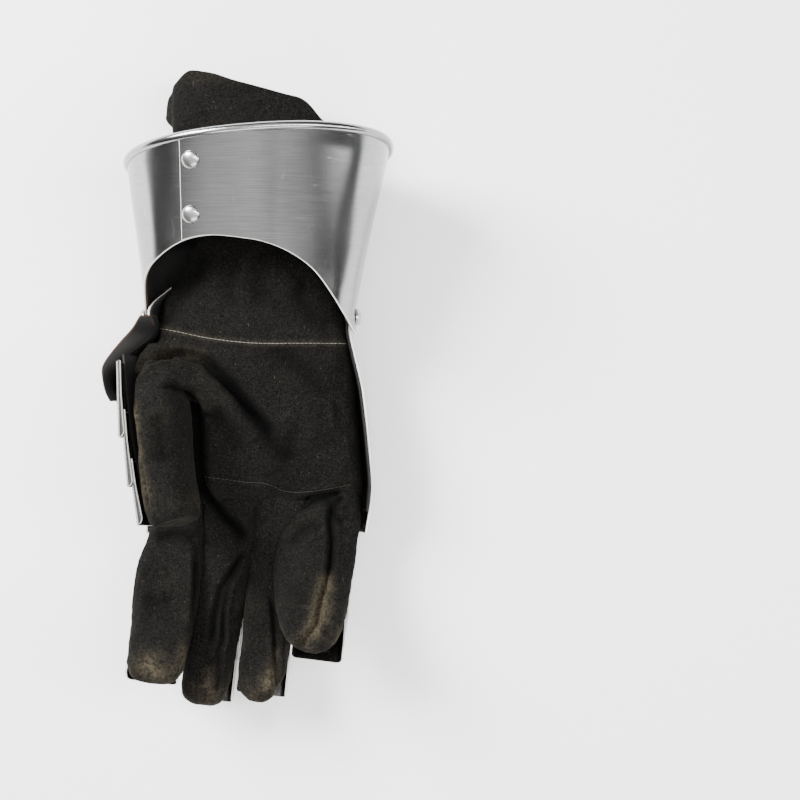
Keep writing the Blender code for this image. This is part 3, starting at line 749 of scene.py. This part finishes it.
def fuse(tubes, voxel, rounds):
    """One skin round overlapping closed tubes: points and quads."""
    points, faces = [], []
    for tube_points, tube_faces in tubes:
        start = len(points)
        points += tube_points
        faces += [tuple(start + i for i in face) for face in tube_faces]
    mesh = bpy.data.meshes.new("rough")
    mesh.from_pydata([tuple(p) for p in points], [], faces)
    face_outward(mesh)
    thing = placed("rough", mesh)
    skin = thing.modifiers.new("skin", "REMESH")
    skin.mode = "VOXEL"
    skin.voxel_size = voxel
    bpy.context.view_layer.update()
    made = bpy.data.meshes.new_from_object(thing.evaluated_get(bpy.context.evaluated_depsgraph_get()))
    verts = np.zeros(len(made.vertices) * 3)
    made.vertices.foreach_get("co", verts)
    quads = np.array([tuple(f.vertices) for f in made.polygons if len(f.vertices) == 4])
    bpy.data.objects.remove(thing)
    return relax(verts.reshape(-1, 3), quads, rounds), quads


def gathered(index, values, count):
    """The sum of the values that go to each of count points."""
    return np.stack([np.bincount(index, values[:, axis], count) for axis in range(3)], 1)


def relax(verts, quads, rounds, share=0.5):
    pairs = np.concatenate([quads[:, [i, (i + 1) % 4]] for i in range(4)])
    a, b = np.unique(np.sort(pairs, axis=1), axis=0).T
    total = len(verts)
    count = np.maximum(np.bincount(a, minlength=total) + np.bincount(b, minlength=total), 1)[:, None]
    for _ in range(rounds):
        around = gathered(a, verts[b], total) + gathered(b, verts[a], total)
        verts = verts + share * (around / count - verts)
    return verts


def vertex_normals(verts, quads):
    across = verts[quads[:, 2]] - verts[quads[:, 0]]
    along = verts[quads[:, 3]] - verts[quads[:, 1]]
    face = np.cross(across, along)
    total = sum(gathered(quads[:, i], face, len(verts)) for i in range(4))
    return total / np.maximum(np.linalg.norm(total, axis=1), 1e-9)[:, None]


def path_distance(points, path):
    """Distance in plan from each point to a line, its side, and how far along the line it is."""
    best = np.full(len(points), 1e9)
    side, along = np.zeros(len(points)), np.zeros(len(points))
    path = np.array([p[:2] for p in path], float)
    for i in range(len(path) - 1):
        a, d = path[i], path[i + 1] - path[i]
        t = np.clip(((points[:, :2] - a) @ d) / (d @ d), 0, 1)
        away = points[:, :2] - (a + t[:, None] * d)
        gap = np.linalg.norm(away, axis=1)
        nearer = gap < best
        best = np.where(nearer, gap, best)
        side = np.where(nearer, np.sign(d[0] * away[:, 1] - d[1] * away[:, 0]), side)
        along = np.where(nearer, (i + t) / (len(path) - 1), along)
    return best, side, along


# Folds seen from the palm side: skins, line, depth, width, how much higher its left side stands, and a True
# where the line's first end doesn't fade out
FOLDS = (
    ("palm", ((-68, -12.8), (-66.9, 2.3), (-60.5, 15.1), (-51.8, 19.1), (-40.7, 20.3), (-25.7, 16.2),
              (-10.6, 2.3), (-0.1, -11.6), (7.4, -19.2), (14.9, -26.7)), 6, 2.5, -0.5),
    ("palm", ((-62.5, -12), (-61.5, 0), (-57, 8.5), (-50, 12.8), (-41, 14)), 1.5, 1.4, -0.3),
    ("palm", ((-42.8, -1.2), (-34.6, -4.1), (-32.3, -8.2), (-31.1, -23.3), (-30.5, -46.5), (-29.4, -70.9)),
     5, 2.8, 0.3, True),
    ("thumb", ((-48, -12), (-47.1, -23.2), (-46, -44)), 2.4, 5, 0),
    ("thumb", ((-62.2, -3.5), (-62.8, -17.4), (-62.2, -30.2), (-57.5, -51.7), (-52.5, -72)), 2.2, 1.3, 0.3),
    ("palm index middle",
     ((-32.1, -49.2), (-28, -58.6), (-23.3, -66.8), (-16.8, -75), (-9.8, -81.4), (-2.2, -94.3)),
     4.2, 2.2, 0.7),
    ("palm middle ring", ((-2.9, -92), (-11.8, -106.2), (-18.9, -118), (-23, -135.8), (-24.2, -154.1)),
     3.2, 1.7, 0.5),
    ("middle", ((-7, -100), (-14.1, -115.1), (-17.1, -129.9), (-17.7, -148.2), (-20, -155.8), (-19.4, -171.2),
                (-20.6, -183)), 2.3, 1.3, 0.2),
    ("ring", ((10.5, -118), (13, -134), (13.9, -148.1), (14.5, -165.9), (15.7, -179)), 2.6, 1.4, 0.4),
    ("ring", ((-2, -106), (3, -124), (1, -146)), 1, 4, 0.1),
    ("index", ((-33, -88.5), (-33, -123.9), (-33, -147.6), (-37.8, -161.7)), 2.8, 1.5, -0.4),
    ("index palm", ((-60, -88), (-48, -85.9), (-39.1, -85.9), (-32.1, -90)), 2.6, 2.4, 0.3),
    ("index", ((-66, -120), (-54, -125), (-42, -122)), 1.5, 2.6, 0.2),
    ("index", ((-60, -100), (-58, -120), (-59, -146)), 0.9, 3, 0.2),
    ("little palm", ((41, -61.2), (46.9, -68.6), (46.2, -77.4), (47.6, -87.8), (47, -101.1), (44.7, -112.6),
                     (41.9, -121.6), (40.1, -133.4), (32, -144.9), (30.9, -149.5)), 3.6, 1.5, 0.4),
    ("little palm", ((55.5, -61.5), (49.5, -68.1), (49.8, -76), (56, -79)), 2.2, 1.5, 0.4),
    ("little palm", ((19.5, -81), (23, -71.5), (34.1, -65.6), (46.4, -62.1), (54, -60.5)), 3.4, 2.3, -0.3),
    ("little", ((22, -92), (28, -84), (36, -80), (42, -82)), 1.8, 2.4, 0.2),
    ("little", ((24, -112), (30, -122), (38, -124)), 1, 2.8, 0.2),
    ("palm", ((36.1, -5.2), (46.6, -8.2), (48.8, -20.7)), -1.3, 2.2, 0),
    ("palm", ((6.8, -19.3), (14.4, -32.1), (23.1, -44)), 2.4, 4, -0.3),
    ("palm", ((10, 24), (24, 17), (38, 6), (47, -8)), 1.6, 4.5, 0.2),
    ("palm", ((-22, -10), (-12, -24), (-6, -38)), 1.8, 3.6, -0.4),
    ("palm", ((30, -20), (24, -34), (26, -48)), 1.4, 3.6, 0.3),
    ("palm", ((-24, 84), (-34, 66), (-44, 50), (-50, 36)), 2.2, 4.5, -0.3),
    ("palm", ((6, 84), (5, 64), (8, 46)), 1.8, 4, 0.2),
    ("palm", ((-8, 86), (-12, 62), (-10, 44)), 1.2, 3.6, 0.2),
    ("palm", ((34, 68), (30, 54), (38, 42), (50, 36)), 1.9, 4.2, -0.2),
)
WRIST_SEAM = ((-58, 37), (-42, 34), (-24.5, 30.3), (0.6, 27.4), (28, 27.2), (57, 27.4))
FINGER_SEAM = ((-29, -50.7), (-5, -54.2), (8.7, -55.4), (19.8, -60), (34.4, -60), (58.3, -56))


def dressed(verts, quads, seed, owner, coarse=1):
    """A smooth skin with folds, slack and fine unevenness, and how deep in a fold each point lies, for the
    painted shade of its creases.
    """
    normals = vertex_normals(verts, quads)
    up = np.clip((normals[:, 2] + 0.05) / 0.45, 0, 1)
    push, crease_shade = np.zeros(len(verts)), np.zeros(len(verts))
    unevenness = 1 + 0.3 * waves(verts, 11, seed + 40, 2)
    for owners, line, depth, width, lean, *open_start in FOLDS:
        if owner not in owners.split():
            continue
        gap, side, along = path_distance(verts, line)
        if open_start:
            ends = smooth_step(1 - along, 0, 0.1)
        else:
            ends = smooth_step(np.minimum(along, 1 - along), 0, 0.16)
        valley = -depth * np.exp(-(gap / (width * unevenness)) ** 2)
        bank = 0.45 * depth * np.exp(-((gap - 2.3 * width) / (1.5 * width)) ** 2) * (1 + lean * side)
        push += up * ends * (valley + bank)
        # How deep in a fold each point lies, which the suede look paints as shade.
        crease_shade += up * ends * depth * np.exp(-(gap / (1.6 * width)) ** 2)
    if owner == "palm":
        for line in (WRIST_SEAM, FINGER_SEAM):
            gap, _, _ = path_distance(verts, line)
            push += up * (0.5 * np.exp(-((gap - 1.6) / 0.9) ** 2) - 0.35 * np.exp(-(gap / 0.8) ** 2))
    slack = waves(verts, 24, seed, 3, (1, 1.3, 1)) * coarse
    crumple = -np.abs(waves(verts, 9.5, seed + 9, 2, (1.5, 0.8, 1.2))) * 0.7 * coarse
    fine = waves(verts, 2.6, seed + 17, 1) * 0.12
    return verts + normals * (push + slack + crumple + fine)[:, None], crease_shade / 3.5


def suede_piece(name, verts, quads, normals, wear, crease_shade, replaces):
    """A piece of glove from some of a skin's quads, shaded as if it were never cut."""
    used, renumbered = np.unique(quads, return_inverse=True)
    faces = renumbered.reshape(quads.shape)
    thing = add(name, verts[used], faces, SUEDE_LOOK, replaces)
    # The "wear" attribute holds wear in red and the painted shade of creases in green.
    rubbed = thing.data.attributes.new("wear", "FLOAT_COLOR", "POINT")
    tones = [np.clip(wear[used], 0, 1), np.clip(crease_shade[used], 0, 1), np.zeros(len(used)), np.ones(len(used))]
    rubbed.data.foreach_set("color", np.stack(tones, 1).ravel())
    thing.data.normals_split_custom_set_from_vertices(normals[used].tolist())
    return thing


def section(place, y, left, right, bottom, top, power=2.4, slant=0, columns=40):
    """A closed superellipse across a length of glove, y along it."""
    ring = []
    for c in range(columns):
        x, z = superellipse(2 * math.pi * c / columns, (right - left) / 2, (top - bottom) / 2, power)
        ring.append(place @ Vector(((left + right) / 2 + x, y + slant * x, (bottom + top) / 2 + z)))
    return ring


# The palm and sleeve: y, left, right, bottom, top, and a power and slant unlike section's own
PALM_SECTIONS = (
    (196, -46, 38, 21, 42, 2.6, -0.27), (184, -47, 40, 20, 44, 2.6, -0.25),
    (168, -48, 42, 19, 47, 2.5, -0.18), (140, -47, 44, 19, 51, 2.5, -0.05), (112, -39, 47, 20, 56),
    (88, -33, 50, 21, 60), (68, -41, 53, 20, 63), (52, -51, 55, 20.5, 64, 2.5),
    (38, -55, 56, 18.5, 62, 2.6), (24, -56, 58, 14.5, 58, 2.6), (8, -56, 60, 9, 54, 2.6),
    (-10, -56, 61.5, 5, 51, 2.6), (-28, -58, 63, 5.5, 49, 2.7), (-44, -60, 64, 9, 46, 2.9),
    (-54, -61.5, 64.5, 13, 42, 3), (-62, -61, 64, 16, 37, 3), (-69, -58, 61, 17, 31, 2.8),
    (-74, -54, 57, 19, 26, 2.6),
)


def bent_tube(line, columns=24):
    """A round tube along points, each (x, y, z, radius, flatness)."""
    rings = []
    for i, (x, y, z, radius, flat) in enumerate(line):
        a, b = line[max(i - 1, 0)], line[min(i + 1, len(line) - 1)]
        along = (Vector(b[:3]) - Vector(a[:3])).normalized()
        side = along.cross(Vector((0, 0, 1))).normalized()
        up = side.cross(along)
        rings.append(circle(Vector((x, y, z)), side * radius, up * radius * flat, columns))
    return closed_tube(rings)


def build_palm():
    body = closed_tube([section(Matrix(), *shape, columns=48) for shape in PALM_SECTIONS])
    mound = bent_tube((
        (-54, -24, 58, 11, 0.9), (-53.5, -8, 61, 14, 0.95), (-49.5, 2.5, 60.5, 15, 0.95),
        (-41, 6.5, 58.5, 14, 0.9), (-30, 5, 55.5, 12, 0.85), (-20, -2, 53, 10.8, 0.75),
        (-11, -11, 50.5, 9.8, 0.65), (-3, -21, 47.5, 8.2, 0.6), (4, -32, 44, 6.2, 0.5),
    ))
    lobe = bent_tube((
        (-40, 180, 29, 5, 1), (-45.5, 172, 28, 6.5, 1), (-46, 164, 28, 6.5, 1), (-40, 156, 29, 5, 1),
    ))
    gusset = bent_tube((
        (-52, 26, 45, 9, 0.9), (-55.5, 11, 46, 13.5, 1), (-54.5, -8, 45, 14.5, 1),
        (-52, -26, 42, 13, 0.9), (-50, -44, 36, 9, 0.8),
    ))
    verts, quads = fuse([body, mound, gusset, lobe], PALM_VOXEL, 8)
    verts, crease_shade = dressed(verts, quads, 3, "palm")
    verts = relax(verts, quads, 1, 0.4)
    normals = vertex_normals(verts, quads)

    # The mouth is cut along a slope with a soft corner at the thumb side.
    line = 189.5 - 0.27 * (verts[:, 0] + 34) + waves(verts, 26, 77, 2)
    line -= 13 * smooth_step(-verts[:, 0], 30, 50) ** 2 + 9 * smooth_step(verts[:, 0], 24, 44) ** 2
    keep = (verts[:, 1] < line)[quads].all(axis=1)
    edge = np.intersect1d(quads[keep], quads[~keep])
    verts[edge, 1] = line[edge]
    quads = quads[keep]

    wear = 0.07 * smooth_step(waves(verts, 30, 5, 3), 0.3, 1.2)
    gap, _, _ = path_distance(verts, WRIST_SEAM)
    wear += 0.3 * np.exp(-(gap / 1.6) ** 2) + 0.15 * smooth_step(verts[:, 1], 176, 190)
    gap, _, _ = path_distance(verts, ((-66, 8), (-58, 18), (-44, 23), (-28, 20)))
    wear += 0.25 * np.exp(-(gap / 4) ** 2)
    wear *= smooth_step(normals[:, 2], -0.3, 0.4)
    thing = suede_piece("glove_hand", verts, quads, normals, wear, crease_shade, ("glove_palm", "glove_sleeve"))
    wall = thing.modifiers.new("thickness", "SOLIDIFY")
    wall.thickness = SUEDE * MM
    wall.offset = -1
    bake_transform(thing)
    return BVHTree.FromPolygons([tuple(v) for v in verts], quads.tolist())


# Finger skins: segment, distance along it, left, right, under and over its joint's axis, and any power
# unlike section's own
GLOVE = {
    "index": (
        (0, 1, -15, 17, -9, 12.5, 3.4), (0, 14, -15.5, 18, -9.5, 12.5, 2.8),
        (0, 27, -19, 19.5, -9.5, 13, 2.6), (1, 6, -19.5, 19.5, -9.5, 13, 2.6),
        (1, 20, -18.5, 19.5, -9, 13, 2.6), (2, 4, -17, 19.5, -8.5, 12.5, 2.6),
        (2, 17, -16, 19, -8.5, 12, 2.6), (2, 27, -15, 18.5, -8.5, 11, 2.7),
        (2, 34, -11.5, 16, -7, 8.5, 2.6), (2, 37, -8, 11, -4, 5, 2.3),
    ),
    "middle": (
        (0, 1, -17, 17.5, -9, 14.5, 3.6), (0, 12, -17, 17.5, -9.5, 13.5, 3),
        (0, 28, -17, 16.5, -9.5, 12.5, 2.5), (1, 6, -17, 16, -9.5, 11.5),
        (1, 22, -16.5, 15.5, -9.5, 11), (2, 5, -16.5, 14.5, -9.5, 10.5),
        (2, 18, -16, 13.5, -9.5, 10), (2, 28, -15.5, 12, -8.5, 9),
        (2, 34.5, -13.5, 9.5, -7, 7.5), (2, 38, -8.5, 4.5, -3.5, 4.5, 2.2),
    ),
    "ring": (
        (0, 1, -17.5, 17, -9, 14.5, 3.6), (0, 12, -18, 17, -9.5, 14, 3),
        (0, 28, -17.5, 16.5, -9.5, 13, 2.5), (1, 6, -17, 16, -9.5, 12.5),
        (1, 22, -16, 15, -9.5, 12), (2, 5, -15, 14, -9.5, 11.5),
        (2, 18, -15, 13, -9.5, 10.5), (2, 28, -14, 11.5, -8.5, 9.5),
        (2, 35, -12, 8.5, -7, 8), (2, 39.5, -6.5, 3, -3.5, 4.5, 2.2),
    ),
    "little": (
        (0, 1, -22, 15.5, -4, 14, 3.2), (0, 12, -29, 15.5, -5, 14.5, 2.8),
        (0, 23, -32, 15.5, -5, 14.5, 2.6), (1, 4, -32.5, 15, -6, 14.5, 2.5),
        (1, 17, -31, 14.5, -7, 14, 2.5), (2, 4, -28.5, 14, -8, 13, 2.5),
        (2, 16, -25, 13.5, -8.5, 12.5, 2.5), (2, 26, -20, 11.5, -8, 10.5, 2.5),
        (2, 32.5, -14, 7, -6.5, 7),
    ),
    "thumb": (
        (0, 3, -7, 9, -7, 6), (0, 11, -12, 13.5, -9.5, 12, 2.5), (0, 23, -15.5, 18.5, -10.8, 17, 2.6),
        (1, 6, -16, 19, -11, 16.5, 2.6), (1, 20, -16.4, 18, -11.5, 15.5, 2.7),
        (2, 5, -17.8, 16.5, -12.2, 14.5, 2.8), (2, 19, -18.6, 15, -12.6, 14, 3),
        (2, 28, -18.4, 14, -12.6, 13.4, 3), (2, 35, -17.5, 13, -11.8, 12.6, 3.4),
        (2, 37.6, -15.5, 11.3, -10, 10.8, 3),
    ),
}
# Lines along which a skin is rubbed pale: line, width, share
RUBBED = {
    "index": ((((-60, -150), (-56, -164), (-46, -166), (-38, -158), (-35, -140)), 5, 0.55),),
    "middle": ((((-26, -160), (-25, -172), (-24, -188)), 3.4, 0.7),),
    "ring": ((((15, -150), (12, -168), (6, -182)), 4, 0.6),),
    "little": (
        (((46, -104), (44, -114), (41, -124), (39, -136), (32, -147)), 4.2, 1),
        (((49, -112), (47, -124), (43, -136)), 3, 0.7),
    ),
    "thumb": ((((-66, -2), (-65, -20), (-62.5, -36), (-58.5, -54), (-52, -74)), 4.6, 1),),
}
# Where each skin starts, inside the palm: distance up from its root, left, right, under, over, power
MIDDLE_ROOT = ((24, -9, 9, -5, 6, 2.5), (14, -15, 15, -8, 14.5, 3.6))
ROOTS_IN_PALM = {
    "index": ((24, -9, 9, -5, 4, 2.5), (14, -14, 14, -8, 11, 3.2)),
    "middle": MIDDLE_ROOT,
    "ring": MIDDLE_ROOT,
    "little": ((24, -9, 9, -5, 4, 2.5), (14, -16, 13, -6, 12, 3.2)),
    "thumb": ((4, -3, 4, -4, 2, 2.2),),
}


def digit_wear(name, verts, normals, end, seed):
    """How rubbed each point is: most at the fingertip, on its edges, and along the lines in RUBBED."""
    reach = np.linalg.norm(verts - np.array(end), axis=1)
    patchy = np.clip(0.6 + 0.55 * waves(verts, 9, seed + 60, 3), 0, 1.3)
    edges = smooth_step(1 - np.abs(normals[:, 2]), 0.3, 0.75)
    tip = 0.45 * (1 - smooth_step(reach, 5, 19)) + 0.55 * (1 - smooth_step(reach, 12, 44)) * edges
    wear = tip * patchy * (0.3 if name == "thumb" else 1)
    wear += 0.07 * smooth_step(waves(verts, 16, seed + 70, 3), 0.3, 1.2)
    for line, width, share in RUBBED[name]:
        gap, _, along = path_distance(verts, line)
        ends = smooth_step(np.minimum(along, 1 - along), 0, 0.2)
        wear += share * np.exp(-(gap / width) ** 2) * ends * patchy
    return wear


def build_glove_digit(name, root, lengths, angles, seed):
    frames = chain(root, lengths, angles)
    rings = [section(root, *shape) for shape in ROOTS_IN_PALM[name]]
    rings += [section(frames[k], -u, *shape) for k, u, *shape in GLOVE[name]]
    tubes = [closed_tube(rings)]
    if name == "little":
        core = [section(root, 20, -9, 9, -7, 4), section(root, 8, -11, 11, -9, 4)]
        places = ((0, 6), (0, 24), (1, 6), (1, 20), (2, 5))
        core += [section(frames[k], -u, -12.5, 12.5, -10, 6) for k, u in places]
        core += [section(frames[2], -20, -11, 11, -9.5, 5), section(frames[2], -25, -8, 8, -8, 3)]
        tubes.append(closed_tube(core))
    verts, quads = fuse(tubes, DIGIT_VOXEL, 5)
    verts, crease_shade = dressed(verts, quads, seed, name, 0.75)
    verts = relax(verts, quads, 1, 0.35)
    normals = vertex_normals(verts, quads)
    wear = digit_wear(name, verts, normals, frames[2] @ Vector((0, -lengths[2] - 3, 2)), seed)

    centres = verts[quads].mean(axis=1)
    past = []
    for frame, length in zip(frames[:2], lengths):
        middle, along = frame @ Vector((0, -length * 0.5, 0)), frame.to_3x3() @ Vector((0, -1, 0))
        past.append((centres - np.array(middle)) @ np.array(along) > 0)
    masks = (~past[0], past[0] & ~past[1], past[0] & past[1])
    for k, part in enumerate(SEGMENTS):
        thing = suede_piece(f"suede_{name}_{part}", verts, quads[masks[k]], normals, wear, crease_shade,
                            (f"glove_{name}_{part}",))
        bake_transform(thing)


def stitches(name, line, tree, look):
    """Short threads lying on a skin along a line in plan."""
    count = int((line[-1][0] - line[0][0]) / 0.3)
    spots = [Vector((x, curve(line, x), 0)) for x in spread(line[0][0], line[-1][0], count + 1)]
    travelled, points, faces, sides = 0, [], [], 6
    for a, b in zip(spots, spots[1:]):
        travelled += (b - a).length
        if travelled < STITCH_PITCH:
            continue
        travelled = 0
        along = (b - a).normalized()
        rings = []
        for t in (-0.5, -0.3, 0, 0.3, 0.5):
            p = a + along * STITCH * t
            hit, normal, _, _ = tree.ray_cast(Vector((p.x, p.y, 200)), Vector((0, 0, -1)))
            if hit is None:
                break
            rings.append((hit + normal * (THREAD * 0.55 if abs(t) < 0.5 else -THREAD), normal))
        if len(rings) < 5:
            continue
        faces += [tuple(len(points) + i for i in face) for face in grid_faces(5, sides, ring=True)]
        for centre, normal in rings:
            side = along.cross(normal).normalized() * THREAD
            points += circle(centre, side, normal * THREAD * 0.8, sides)
    return add(name, points, faces, look)


# Stage

# In metres and watts: name, place, size, power
LIGHTS = (
    ("key", (-1.05, 0.7, 1.1), (0.7, 0.9), 105), ("fill", (1.1, -0.1, 1.1), (0.6, 1.4), 18),
    ("foot", (0.1, -1.3, 1), (1.4, 0.6), 19), ("strip", (0.42, 0.1, 1.35), (0.07, 1.2), 14),
    ("low_strip", (1.15, 0.1, 0.42), (0.04, 0.9), 4),
)
LIT_SPOT = Vector((0, 0, 0.03))
SKY = ((0, 0.45), (0.1, 0.06), (0.4, 0.08), (0.62, 0.4), (0.85, 0.95), (1, 0.85))
SKY_ACROSS = ((0.55, 1), (0.8, 0.35), (1, 0.22))


def build_stage():
    mesh = bpy.data.meshes.new("floor")
    reach, drop = 25, 0.0002
    corners = [(x * reach, y * reach, -drop) for x, y in ((-1, -1), (1, -1), (1, 1), (-1, 1))]
    mesh.from_pydata(corners, [], [(0, 1, 2, 3)])
    look, _, _ = new_look("pale_floor", Base_Color=grey(0.96), Roughness=0.9, Specular_IOR_Level=0)
    mesh.materials.append(look)
    floor = placed("floor", mesh)

    for name, where, size, watts in LIGHTS:
        data = bpy.data.lights.new(name, "AREA")
        data.shape, data.size, data.size_y = "RECTANGLE", size[0], size[1]
        data.energy = watts
        light = placed(name, data)
        light.location = where
        light.rotation_mode = "QUATERNION"
        light.rotation_quaternion = (LIT_SPOT - Vector(where)).to_track_quat("-Z", "Y")

    world = bpy.data.worlds.new("studio")
    world.use_nodes = True
    tree = world.node_tree
    where = node(tree, "ShaderNodeTexCoord")
    split = node(tree, "ShaderNodeSeparateXYZ")
    tree.links.new(where.outputs["Generated"], split.inputs["Vector"])
    sky = ramp(tree, split.outputs["Z"], SKY)
    across = node(tree, "ShaderNodeMath", operation="MULTIPLY_ADD")
    tree.links.new(split.outputs["X"], across.inputs[0])
    across.inputs[1].default_value = 0.5
    across.inputs[2].default_value = 0.5
    side = ramp(tree, across.outputs[0], SKY_ACROSS)
    tree.links.new(mix(tree, 1, sky, side, "MULTIPLY"), tree.nodes["Background"].inputs["Color"])
    tree.nodes["Background"].inputs["Strength"].default_value = 1.45
    bpy.context.scene.world = world

    data = bpy.data.cameras.new("camera")
    data.sensor_width = 36
    data.lens = 77.2
    camera = placed("camera", data)
    camera.location = (0.08852, -0.00766, 1.055)
    camera.rotation_euler = (0, 0, 0)
    bpy.context.scene.camera = camera


build_stage()
build_cuff_plate()
build_cuff_shade_sheet()
build_cuff_rim()
build_cuff_rivets()
build_hand()
build_thumb_flap()
build_knuckle_rivets()
ROOTS = digit_roots()
for digit, (root, lengths, angles) in ROOTS.items():
    build_lames(digit, root, lengths, angles)
    build_straps(digit, root, lengths, angles)
build_strap_band()
palm = build_palm()
for number, (digit, (root, lengths, angles)) in enumerate(ROOTS.items()):
    build_glove_digit(digit, root, lengths, angles, 100 + 10 * number)
seam = stitches("wrist_stitches", WRIST_SEAM, palm, THREAD_LOOK)
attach(stitches("finger_stitches", FINGER_SEAM, palm, HIDDEN_THREAD_LOOK), "hand")
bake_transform(seam)
